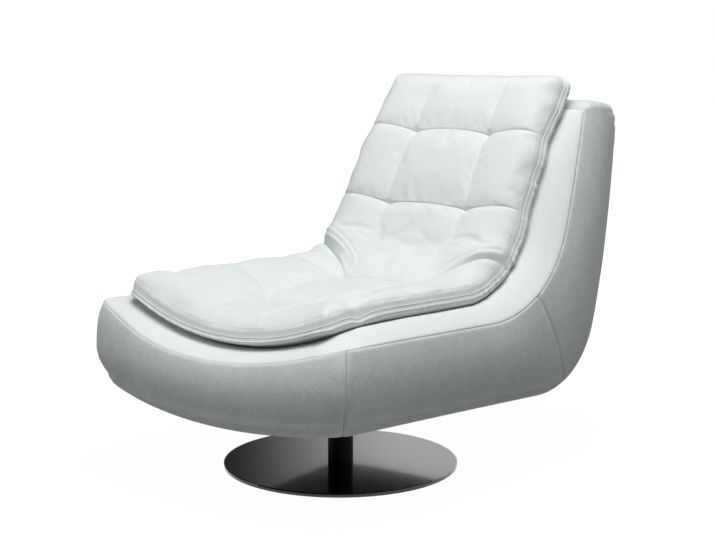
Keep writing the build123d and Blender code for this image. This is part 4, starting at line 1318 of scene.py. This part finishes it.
    def thickness(self) -> np.ndarray:
        """Thickness of the pad at every grid point before the cloth is inflated.

        Returns:
            Thickness in metres.
        """
        pad, p, x = self.pad, self.p, self.x
        lines = self.row_lines(x)
        folds, crease = self._bend_folds(p - lines[1])
        away = np.minimum(np.minimum(p - pad.front, pad.end - p), self.half(p) - np.abs(x))
        rounded = np.sqrt(np.maximum(1 - (1 - np.clip(away / pad.edge_round, 0, 1)) ** 2, 0))
        held = np.clip(away / pad.edge_hold, 0, 1) ** pad.hold_shape
        low = np.interp(p, pad.boxing_p, (pad.seat_boxing, pad.back_boxing)) + pad.boxing_lip
        notch = np.clip(np.abs(x) / pad.notch_run - pad.notch_start, 0, 1)
        low = low * (1 - pad.notch * bell(p - pad.notch_p, pad.notch_width) * notch)
        plump = low + (self._stuffing() - low) * rounded
        crease = crease * (pad.fold_at_edge + (1 - pad.fold_at_edge) * held)
        plump = plump - (self._quilting(lines) + folds) * held - crease
        return np.maximum(plump, pad.thinnest)

    def _tuft(self, along: np.ndarray, across: np.ndarray, share: float, reach: float) -> np.ndarray:
        """Dip of one tuft and the pleats that fan out from it.

        Args:
            along: distance from the tuft along the pad.
            across: distance from the tuft across the pad.
            share: depth of this row against the deepest.
            reach: length of the pleats, negative where they run to the front.

        Returns:
            Depth below the plain pad.
        """
        pad = self.pad
        far = np.hypot(along, across)
        turn = np.arctan2(across, along * math.copysign(1.0, reach))
        dip = np.exp(-far / pad.tuft_width) + pad.spread_share * np.exp(-far / pad.tuft_spread)
        deep = share * pad.tuft_dip * dip
        for lean, size in pad.pleat_leans:
            aside, ahead = far * np.sin(turn - lean), far * np.cos(turn - lean)
            fade = np.exp(-np.maximum(ahead, 0) / abs(reach)) * np.clip(ahead / pad.pleat_start, 0, 1)
            crease = bell(aside, pad.pleat_width) - pad.ridge_share * bell(aside, pad.ridge_width)
            deep = deep + pad.pleat * size * fade * crease
        return deep

    def underside(self, x: np.ndarray) -> np.ndarray:
        """Points of the underside, drawn back from the front edge so that the pad overhangs the deck.

        Args:
            x: sideways places of the grid points.

        Returns:
            The points on the deck.
        """
        pad = self.pad
        p = self.p + pad.overhang * np.exp(-(self.p - pad.front) / pad.overhang_reach)
        drawn = x * (1 - pad.side_overhang / self.half(self.p))
        return self.form.place(p, drawn, self.bottom(p, drawn), fan=False)

    def slid(self) -> np.ndarray:
        """Sideways places of the points on the pad as it lies, slid to the sitter's right up the back.

        Returns:
            Distances from the middle.
        """
        pad = self.pad
        share = np.abs(self.x) / self.half(self.p)
        far = np.interp(self.p, pad.slide_p, pad.far_slide)
        near = np.interp(self.p, pad.slide_p, pad.near_slide)
        return self.x - np.where(self.x > 0, near, far) * share

    def pins(self) -> np.ndarray:
        """Hold of every grid point: one on the border and the rows, less on the columns, zero elsewhere.

        Returns:
            Weights from 0 to 1.
        """
        hold = np.zeros(self.p.shape)
        for col in self.seam_cols:
            hold[:, col - 1 : col + 2] = self.column_hold
        for row in self.seam_rows:
            hold[row - 2 : row + 3, :] = 1.0
        hold[:3, :] = hold[-3:, :] = 1.0
        hold[:, :3] = hold[:, -3:] = 1.0
        return hold

    def inflate(self, grid: np.ndarray) -> np.ndarray:
        """Let the cloth of the top puff up and wrinkle between its seams.

        Args:
            grid: resting points of the top.

        Returns:
            The points after the cloth has settled, each within a short way of its start.
        """
        rows, cols = grid.shape[:2]
        sheet = link_mesh("pad_cloth", grid.reshape(-1, 3), grid_faces(rows, cols, 0, False))
        group = sheet.vertex_groups.new(name="seams")
        hold = self.pins().ravel()
        for weight in np.unique(hold[hold > 0]):
            group.add(np.flatnonzero(hold == weight).tolist(), float(weight), "REPLACE")
        cloth = sheet.modifiers.new("cloth", "CLOTH")
        for setting, value in PAD_CLOTH.items():
            setattr(cloth.settings, setting, value)
        cloth.settings.effector_weights.gravity = 0.0
        cloth.collision_settings.use_collision = False
        scene = bpy.context.scene
        for number in range(1, self.frames + 1):
            scene.frame_set(number)
        graph = bpy.context.evaluated_depsgraph_get()
        settled = np.empty(rows * cols * 3)
        sheet.evaluated_get(graph).data.vertices.foreach_get("co", settled)
        scene.frame_set(1)
        bpy.data.objects.remove(sheet)
        move = settled.reshape(rows, cols, 3) - grid
        size = np.linalg.norm(move, axis=2, keepdims=True)
        LOG.info("cloth moved %.1f mm at most, %.1f mm on average", size.max() / MM, size.mean() / MM)
        return grid + move * np.minimum(1, self.move_cap / np.maximum(size, 1e-9))

    def build(self) -> None:
        """Make the pad with its welt and stitches."""
        x = self.slid()
        height = self.bottom(self.p, x) + self.thickness()
        base = self.corner.plump(self.underside(x))
        top = self.corner.plump(self.form.place(self.p, x, height, fan=False))
        top = self.inflate(top)
        loop = rim_loop(*top.shape[:2])
        upper, lower = top.reshape(-1, 3)[loop], base.reshape(-1, 3)[loop]
        out = self._outward(upper)
        rings = self._boxing(upper, lower, out, self._gathers(upper, self.p.reshape(-1)[loop]))
        self._close(top, base, rings)
        self._welt("pad_welt_top", upper + out * self.welt_out)
        edge = self.stitch_margin
        inner = rim_loop(top.shape[0] - 2 * edge, top.shape[1] - 2 * edge)
        core, lift = (grid[edge:-edge, edge:-edge].reshape(-1, 3)[inner] for grid in (top, normals_of(top)))
        dress(PAD_STITCH.run("pad_stitches_top", core, lift), self.thread)
        for number in self.stitch_rings:
            line = rings[number] - out * self.stitch_sink
            dress(PAD_STITCH.run(f"pad_stitches_boxing_{number}", line, out), self.thread)

    def _boxing(
        self, upper: np.ndarray, lower: np.ndarray, out: np.ndarray, gather: np.ndarray
    ) -> list[np.ndarray]:
        """Rings of the boxing, upright at first and then turned under the pad.

        Args:
            upper: border of the top.
            lower: border of the underside.
            out: level directions out of the pad.
            gather: outward gathers.

        Returns:
            Points of each ring from top to bottom.
        """
        lean = np.sum((lower - upper) * out, axis=1)
        rings = []
        for k in range(1, self.wall_rows):
            s = k / self.wall_rows
            swell = math.sin(math.pi * s)
            turned = eased((s - self.wall_turn) / (1 - self.wall_turn))
            groove = sum(self.groove * bell(s - line, self.groove_width) for line in self.grooves)
            push = self.wall_swell * swell - groove + gather * swell + lean * (turned - s)
            rings.append(upper + (lower - upper) * s + out * push[:, None])
        return rings

    def _gathers(self, loop: np.ndarray, p: np.ndarray) -> np.ndarray:
        """Small upright gathers of the boxing, deepest round the bend.

        Args:
            loop: border of the top.
            p: lengths along the pad of its points.

        Returns:
            Outward distances.
        """
        rng = np.random.default_rng(self.gather_seed)
        run = run_length(loop)
        gather = np.zeros_like(run)
        for _ in range(self.gather_waves):
            turns = 2 * math.pi * run / rng.uniform(*self.gather_lengths) + rng.uniform(0, 6)
            gather += np.sin(turns) / self.gather_mix
        bend = bell(p - self.bend_gather_p, self.bend_gather_reach)
        return gather * (self.gather + self.bend_gather * bend)

    def _outward(self, loop: np.ndarray) -> np.ndarray:
        """Level directions out of the pad at its border.

        Args:
            loop: border of the top.

        Returns:
            Unit vectors.
        """
        ahead = np.roll(loop, -2, axis=0) - np.roll(loop, 2, axis=0)
        up = self.form.up(self.p.reshape(-1)[rim_loop(*self.p.shape)], fan=False)
        out = unit(np.cross(up, ahead))
        return out * np.sign(np.sum(out * (loop - loop.mean(axis=0))))

    def _close(self, top: np.ndarray, base: np.ndarray, rings: list[np.ndarray]) -> None:
        """Join top, boxing and underside into one closed pad.

        Args:
            top: points of the top.
            base: points of the underside.
            rings: points of the boxing.
        """
        rows, cols = top.shape[:2]
        count = rows * cols
        loop = rim_loop(rows, cols)
        levels = [2 * count + k * len(loop) + np.arange(len(loop)) for k in range(len(rings))]
        levels = [loop, *levels, loop + count]
        faces = grid_faces(rows, cols, 0, False) + grid_faces(rows, cols, count, True)
        for above, below in zip(levels, levels[1:]):
            faces += wall_faces(above, below)
        piece = link_mesh("pad", np.concatenate([top.reshape(-1, 3), base.reshape(-1, 3), *rings]), faces)
        dress(piece, self.cloth, ("lounge_pad",))

    def _welt(self, name: str, loop: np.ndarray) -> None:
        """Lay a closed welt along the border of the pad.

        Args:
            name: name of the piece.
            loop: middle line of the welt.
        """
        ahead = unit(np.roll(loop, -1, axis=0) - np.roll(loop, 1, axis=0))
        side = unit(np.cross(ahead, UP + self.welt_lean * FORWARD))
        lift = np.cross(side, ahead)
        angle = np.linspace(0, 2 * math.pi, self.welt_turns, endpoint=False)[None, :, None]
        ring = self.welt * (np.cos(angle) * side[:, None] + np.sin(angle) * lift[:, None])
        faces = tube_faces(len(loop), self.welt_turns, closed=True)
        dress(link_mesh(name, (loop[:, None] + ring).reshape(-1, 3), faces), self.cloth)


def linear(value: float) -> float:
    """Linear share of an 8-bit screen value."""
    share = value / 255
    return share / 12.92 if share <= 0.04045 else ((share + 0.055) / 1.055) ** 2.4


def srgb(red: float, green: float, blue: float) -> Color:
    """Linear colour of an 8-bit screen colour."""
    return linear(red), linear(green), linear(blue), 1.0


def add_node(
    tree: bpy.types.NodeTree, kind: str, inputs: dict | None = None, **settings: object
) -> bpy.types.Node:
    """Add a node and set or link its inputs.

    Args:
        tree: the tree that gets the node.
        kind: Blender's name of the node.
        inputs: for the name or number of an input, its value or the socket that feeds it.
        **settings: settings of the node, such as its operation.

    Returns:
        The new node.
    """
    node = tree.nodes.new(kind)
    for name, value in settings.items():
        setattr(node, name, value)
    feed(tree, node, inputs or {})
    return node


def feed(tree: bpy.types.NodeTree, node: bpy.types.Node, inputs: dict) -> None:
    """Set or link the inputs of a node.

    Args:
        tree: the tree that holds the node.
        node: the node.
        inputs: for the name or number of an input, its value or the socket that feeds it.
    """
    for name, value in inputs.items():
        if isinstance(value, bpy.types.NodeSocket):
            tree.links.new(value, node.inputs[name])
        else:
            node.inputs[name].default_value = value


@dataclass(frozen=True)
class Finish:
    """A procedural finish: two close colours, a grain and a surface."""

    name: str
    light: Color
    dark: Color
    grain: float
    bump: float
    rough: float
    metal: float = 0.0
    sheen: float = 0.0
    coat: float = 0.0
    specular: float = 0.5
    stretch: Triple = (1.0, 1.0, 1.0)
    bump_height: float = 0.0006
    sheen_rough: float = 0.4
    coat_rough: float = 0.05


SUEDE = {"rough": 0.78, "sheen": 0.2, "specular": 0.15}
SHELL_SUEDE = Finish("suede", srgb(230, 235, 235), srgb(198, 203, 204), 330.0, 0.6, **SUEDE)
# Painted light: the deck's suede is a lighter copy of the shell's suede, one fabric made brighter so that the
# deck reads more strongly lit.
LIT_DECK_SUEDE = Finish("deck_suede_painted_light", srgb(231, 236, 236), srgb(216, 221, 221), 420.0, 0.45, **SUEDE)
PAD_SUEDE = Finish("pad_suede", srgb(228, 233, 233), srgb(216, 221, 221), 700.0, 0.4, **SUEDE)
THREAD = Finish("thread", srgb(200, 205, 206), srgb(184, 189, 191), 2600.0, 0.3, 0.6)
DUST_CLOTH = Finish("dust_cloth", srgb(30, 30, 32), srgb(20, 20, 22), 2200.0, 0.5, 0.82)
BLACK_COAT = Finish("black_coat", srgb(10, 10, 11), srgb(7, 7, 8), 2400.0, 0.01, 0.08, coat=0.5)
SATIN_BLACK = Finish("satin_black", srgb(10, 10, 11), srgb(7, 7, 8), 2400.0, 0.03, 0.42, specular=0.12)
BRIGHT_STEEL = Finish("bright_steel", srgb(196, 198, 200), srgb(176, 178, 181), 900.0, 0.05, 0.28, metal=1.0)
BIRCH_PLY = Finish(
    "birch_ply", srgb(206, 170, 122), srgb(176, 138, 92), 300.0, 0.15, 0.55, stretch=(0.15, 1.0, 1.0)
)
WHITE_NYLON = Finish("white_nylon", srgb(226, 224, 216), srgb(214, 212, 204), 800.0, 0.05, 0.38)
WEBBING = Finish("webbing", srgb(60, 54, 46), srgb(38, 34, 30), 1600.0, 0.6, 0.8)
FELT = Finish("felt", srgb(54, 54, 56), srgb(38, 38, 40), 1800.0, 0.6, 0.9)

NODE_FINISHES: dict[Finish, tuple[str, ...]] = {
    BLACK_COAT: ("base_disc",),
    SATIN_BLACK: ("column_tube",),
    BRIGHT_STEEL: (
        "foot_screws", "lower_race", "upper_race", "bearing_balls", "spindle", "spindle_collar",
        "retaining_washer", "retaining_ring", "swivel_plate", "plate_bolts", "plate_washers",
        "tee_nuts", "rail_screws", "seat_springs", "foot_plug",
    ),
    BIRCH_PLY: (
        "seat_board", "front_rail", "spring_rail", "rear_rail", "lumbar_rail", "top_rail",
        "frame_side_left", "frame_side_right",
    ),
    WHITE_NYLON: ("spring_clips", "lower_bush", "upper_bush", "ball_cage"),
    WEBBING: ("back_straps",),
    FELT: ("floor_pad",),
}


@dataclass
class FinishKit:
    """Makes the materials from one shared grain group.

    Patches, nap and fibres each have a share of the grain's fineness, a detail and a distortion.
    """

    patches: Triple = (0.022, 3.0, 0.6)
    nap: Triple = (0.11, 4.0, 0.4)
    fibres: Triple = (1.0, 2.0, 0.0)
    nap_mix: float = 0.5
    fibre_mix: float = 0.62
    height_mix: float = 0.88
    contrast: tuple[float, float] = (0.32, 0.68)
    rough_spread: float = 0.10

    def __post_init__(self) -> None:
        """Build the shared node group."""
        self.group = bpy.data.node_groups.new("SurfaceGrain", "ShaderNodeTree")
        sockets = {
            "INPUT": {
                "Light": "Color", "Dark": "Color", "Grain": "Float", "Rough": "Float", "Stretch": "Vector",
            },
            "OUTPUT": {"Color": "Color", "Height": "Float", "Roughness": "Float"},
        }
        for way, kinds in sockets.items():
            for name, kind in kinds.items():
                self.group.interface.new_socket(name, in_out=way, socket_type="NodeSocket" + kind)
        self._fill_group()

    def _fill_group(self) -> None:
        """Mix two colours with a patchy grain, and give a bump height and a roughness."""
        tree = self.group
        given = add_node(tree, "NodeGroupInput").outputs
        place = add_node(tree, "ShaderNodeTexCoord").outputs["Object"]
        scaled = add_node(tree, "ShaderNodeVectorMath", {0: place, 1: given["Stretch"]}, operation="MULTIPLY")
        sizes = (self.patches, self.nap, self.fibres)
        patches, nap, fibre = (self._noise(given["Grain"], scaled.outputs[0], *size) for size in sizes)
        mottled = self._blend(self._blend(patches, nap, self.nap_mix), fibre, self.fibre_mix)
        limits = {"From Min": self.contrast[0], "From Max": self.contrast[1], "Value": mottled}
        spread = add_node(tree, "ShaderNodeMapRange", limits).outputs["Result"]
        colors = {0: spread, 6: given["Dark"], 7: given["Light"]}
        mix = add_node(tree, "ShaderNodeMix", colors, data_type="RGBA")
        rough = {0: nap, 1: self.rough_spread, 2: given["Rough"]}
        varied = add_node(tree, "ShaderNodeMath", rough, operation="MULTIPLY_ADD")
        height = self._blend(nap, fibre, self.height_mix)
        results = {"Color": mix.outputs[2], "Height": height, "Roughness": varied.outputs[0]}
        add_node(tree, "NodeGroupOutput", results)

    def _noise(
        self, grain: bpy.types.NodeSocket, place: bpy.types.NodeSocket,
        share: float, detail: float, warp: float,
    ) -> bpy.types.NodeSocket:
        """One size of noise in the grain group.

        Args:
            grain: socket with the grain's fineness.
            place: socket with the place on the surface.
            share: fineness of this noise against the grain's.
            detail: its detail.
            warp: its distortion.

        Returns:
            The socket with the noise.
        """
        scale = add_node(self.group, "ShaderNodeMath", {0: grain, 1: share}, operation="MULTIPLY")
        inputs = {"Vector": place, "Scale": scale.outputs[0], "Detail": detail, "Distortion": warp}
        return add_node(self.group, "ShaderNodeTexNoise", inputs).outputs["Fac"]

    def _blend(
        self, first: bpy.types.NodeSocket, second: bpy.types.NodeSocket, share: float
    ) -> bpy.types.NodeSocket:
        """A mix of two values in the grain group, with the given share of the second."""
        return add_node(self.group, "ShaderNodeMix", {0: share, 2: first, 3: second}).outputs[0]

    def make(self, finish: Finish) -> bpy.types.Material:
        """Make a material from a finish.

        Args:
            finish: the finish to make.

        Returns:
            The new material.
        """
        material = bpy.data.materials.new(finish.name)
        material.use_nodes = True
        tree = material.node_tree
        grain = add_node(tree, "ShaderNodeGroup", node_tree=self.group)
        feed(tree, grain, {"Light": finish.light, "Dark": finish.dark, "Grain": finish.grain})
        feed(tree, grain, {"Rough": finish.rough, "Stretch": finish.stretch})
        height = grain.outputs["Height"]
        relief = {"Strength": finish.bump, "Distance": finish.bump_height, "Height": height}
        bump = add_node(tree, "ShaderNodeBump", relief)
        surface = {
            "Base Color": grain.outputs["Color"],
            "Roughness": grain.outputs["Roughness"],
            "Normal": bump.outputs["Normal"],
            "Metallic": finish.metal,
            "Sheen Weight": finish.sheen,
            "Sheen Roughness": finish.sheen_rough,
            "Coat Weight": finish.coat,
            "Coat Roughness": finish.coat_rough,
            "Specular IOR Level": finish.specular,
        }
        feed(tree, tree.nodes["Principled BSDF"], surface)
        return material


@dataclass(frozen=True)
class Lamp:
    """A soft box: its place, the point that it faces, width and height in metres, power in watts."""

    name: str
    at: Triple
    to: Triple
    size: tuple[float, float]
    power: float

    def hang(self) -> None:
        """Put the lamp in the scene."""
        data = bpy.data.lights.new(self.name, "AREA")
        data.shape = "RECTANGLE"
        data.size, data.size_y = self.size
        data.energy = self.power
        lamp = bpy.data.objects.new(self.name, data)
        lamp.location = self.at
        lamp.rotation_euler = (Vector(self.to) - Vector(self.at)).to_track_quat("-Z", "Y").to_euler()
        bpy.context.scene.collection.objects.link(lamp)


LAMPS = (
    Lamp("overhead", (0.70, -0.60, 3.0), (0.05, 0.0, 0.3), (2.4, 2.2), 93.0),
    Lamp("front", (-2.8, -2.3, 1.8), (0.0, 0.0, 0.35), (1.8, 1.6), 19.0),
    Lamp("side", (3.2, 0.8, 1.3), (0.0, 0.2, 0.4), (1.6, 1.4), 0.6),
)


@dataclass
class Studio:
    """Floor, white surroundings, lamps and camera."""

    eye: Triple = (2.048, -2.269, 0.888)
    look: Triple = (-0.6533, 0.7418, -0.1513)
    lens: float = 73.87
    sensor: float = 36.0
    ambient: float = 0.055
    gloss_turn: tuple[float, float] = (-0.09, 0.04)
    gloss_light: tuple[float, float] = (0.05, 1.1)
    floor_half: float = 12.0
    floor_grey: float = 0.30
    floor_rough: float = 0.9
    floor_glow: float = 1.06
    shadow_reach: tuple[float, float] = (0.3, 2.2)
    shadow_white: tuple[float, float] = (0.92, 1.0)

    def build(self) -> None:
        """Set the stage."""
        self.world()
        self.floor()
        for lamp in LAMPS:
            lamp.hang()
        self.camera()

    def _ramp(
        self, tree: bpy.types.NodeTree, value: bpy.types.NodeSocket,
        start: tuple[float, float], end: tuple[float, float],
    ) -> bpy.types.NodeSocket:
        """A soft ramp from one range of values to another.

        Args:
            tree: the tree that gets the ramp.
            value: socket with the value.
            start: range of the value.
            end: range of the result.

        Returns:
            The socket with the result.
        """
        inputs = {"From Min": start[0], "From Max": start[1], "To Min": end[0], "To Max": end[1]}
        inputs["Value"] = value
        ramp = add_node(tree, "ShaderNodeMapRange", inputs, interpolation_type="SMOOTHSTEP")
        return ramp.outputs["Result"]

    def _either(
        self, tree: bpy.types.NodeTree, first: bpy.types.NodeSocket, second: bpy.types.NodeSocket
    ) -> bpy.types.NodeSocket:
        """The larger of two values."""
        return add_node(tree, "ShaderNodeMath", {0: first, 1: second}, operation="MAXIMUM").outputs[0]

    def world(self) -> None:
        """White where it is seen, shaded to one side for gloss, and soft grey light elsewhere."""
        world = bpy.data.worlds.new("studio")
        bpy.context.scene.world = world
        world.use_nodes = True
        tree = world.node_tree
        path = add_node(tree, "ShaderNodeLightPath").outputs
        place = add_node(tree, "ShaderNodeTexCoord").outputs["Generated"]
        sideways = {0: place, 1: (self.look[1], -self.look[0], 0.0)}
        aside = add_node(tree, "ShaderNodeVectorMath", sideways, operation="DOT_PRODUCT")
        shade = self._ramp(tree, aside.outputs["Value"], self.gloss_turn, self.gloss_light)
        gloss = add_node(tree, "ShaderNodeMix", {0: path["Is Glossy Ray"], 2: self.ambient, 3: shade})
        seen = self._either(tree, path["Is Camera Ray"], path["Is Transmission Ray"])
        strength = add_node(tree, "ShaderNodeMix", {0: seen, 2: gloss.outputs[0], 3: 1.0})
        white = {"Color": (1.0, 1.0, 1.0, 1.0), "Strength": strength.outputs[0]}
        feed(tree, tree.nodes["Background"], white)

    def floor(self) -> None:
        """A pale floor that keeps a soft shadow of the chair."""
        corners = ((-1, -1, 0), (1, -1, 0), (1, 1, 0), (-1, 1, 0))
        floor = link_mesh("floor", np.array(corners) * self.floor_half, [(0, 1, 2, 3)])
        material = bpy.data.materials.new("floor_white")
        material.use_nodes = True
        tree = material.node_tree
        shader = tree.nodes["Principled BSDF"]
        feed(tree, shader, {"Base Color": (*(self.floor_grey,) * 3, 1.0), "Roughness": self.floor_rough})
        white = {"Color": (1.0, 1.0, 1.0, 1.0), "Strength": self.floor_glow}
        glow = add_node(tree, "ShaderNodeEmission", white)
        place = add_node(tree, "ShaderNodeTexCoord").outputs["Object"]
        far = add_node(tree, "ShaderNodeVectorMath", {0: place}, operation="LENGTH")
        clear = self._ramp(tree, far.outputs["Value"], self.shadow_reach, self.shadow_white)
        path = add_node(tree, "ShaderNodeLightPath").outputs
        seen = self._either(tree, path["Is Camera Ray"], path["Is Glossy Ray"])
        seen = self._either(tree, seen, path["Is Transmission Ray"])
        share = add_node(tree, "ShaderNodeMath", {0: seen, 1: clear}, operation="MULTIPLY").outputs[0]
        mixed = {0: share, 1: shader.outputs[0], 2: glow.outputs[0]}
        mix = add_node(tree, "ShaderNodeMixShader", mixed)
        feed(tree, tree.nodes["Material Output"], {"Surface": mix.outputs[0]})
        floor.data.materials.append(material)

    def camera(self) -> None:
        """Stand where the picture was taken from."""
        data = bpy.data.cameras.new("camera")
        data.sensor_width = self.sensor
        data.lens = self.lens
        camera = bpy.data.objects.new("camera", data)
        forward = Vector(self.look).normalized()
        right = forward.cross(Vector(UP)).normalized()
        turn = Matrix((right, right.cross(forward), -forward)).transposed().to_4x4()
        camera.matrix_world = Matrix.Translation(Vector(self.eye)) @ turn
        bpy.context.scene.collection.objects.link(camera)
        bpy.context.scene.camera = camera


class LoungeChair:
    """The whole chair: finishes, covers, pad and stage."""

    def __init__(self) -> None:
        """Start the finishes."""
        self.kit = FinishKit()

    def build(self) -> None:
        """Dress the construction model and add the covers."""
        for finish, nodes in NODE_FINISHES.items():
            material = self.kit.make(finish)
            for node in nodes:
                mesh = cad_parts[node].data
                mesh.materials.clear()
                mesh.materials.append(material)
                LOG.info("%s in %s", node, finish.name)
        form, corner, thread = ShellForm(), FullCorner(), self.kit.make(THREAD)
        # The bands keep the shell's suede; the deck gets its lighter copy, painted light.
        cloths = (self.kit.make(finish) for finish in (SHELL_SUEDE, LIT_DECK_SUEDE))
        ShellCover(form, corner, *cloths, thread, self.kit.make(DUST_CLOTH)).build()
        LoungePad(form, PadForm(), corner, self.kit.make(PAD_SUEDE), thread).build()
        Studio().build()


def main() -> None:
    """Build the scene."""
    LoungeChair().build()
    bpy.context.scene.view_settings.view_transform = "Standard"
    bpy.context.view_layer.update()


if __name__ == "__main__":
    main()
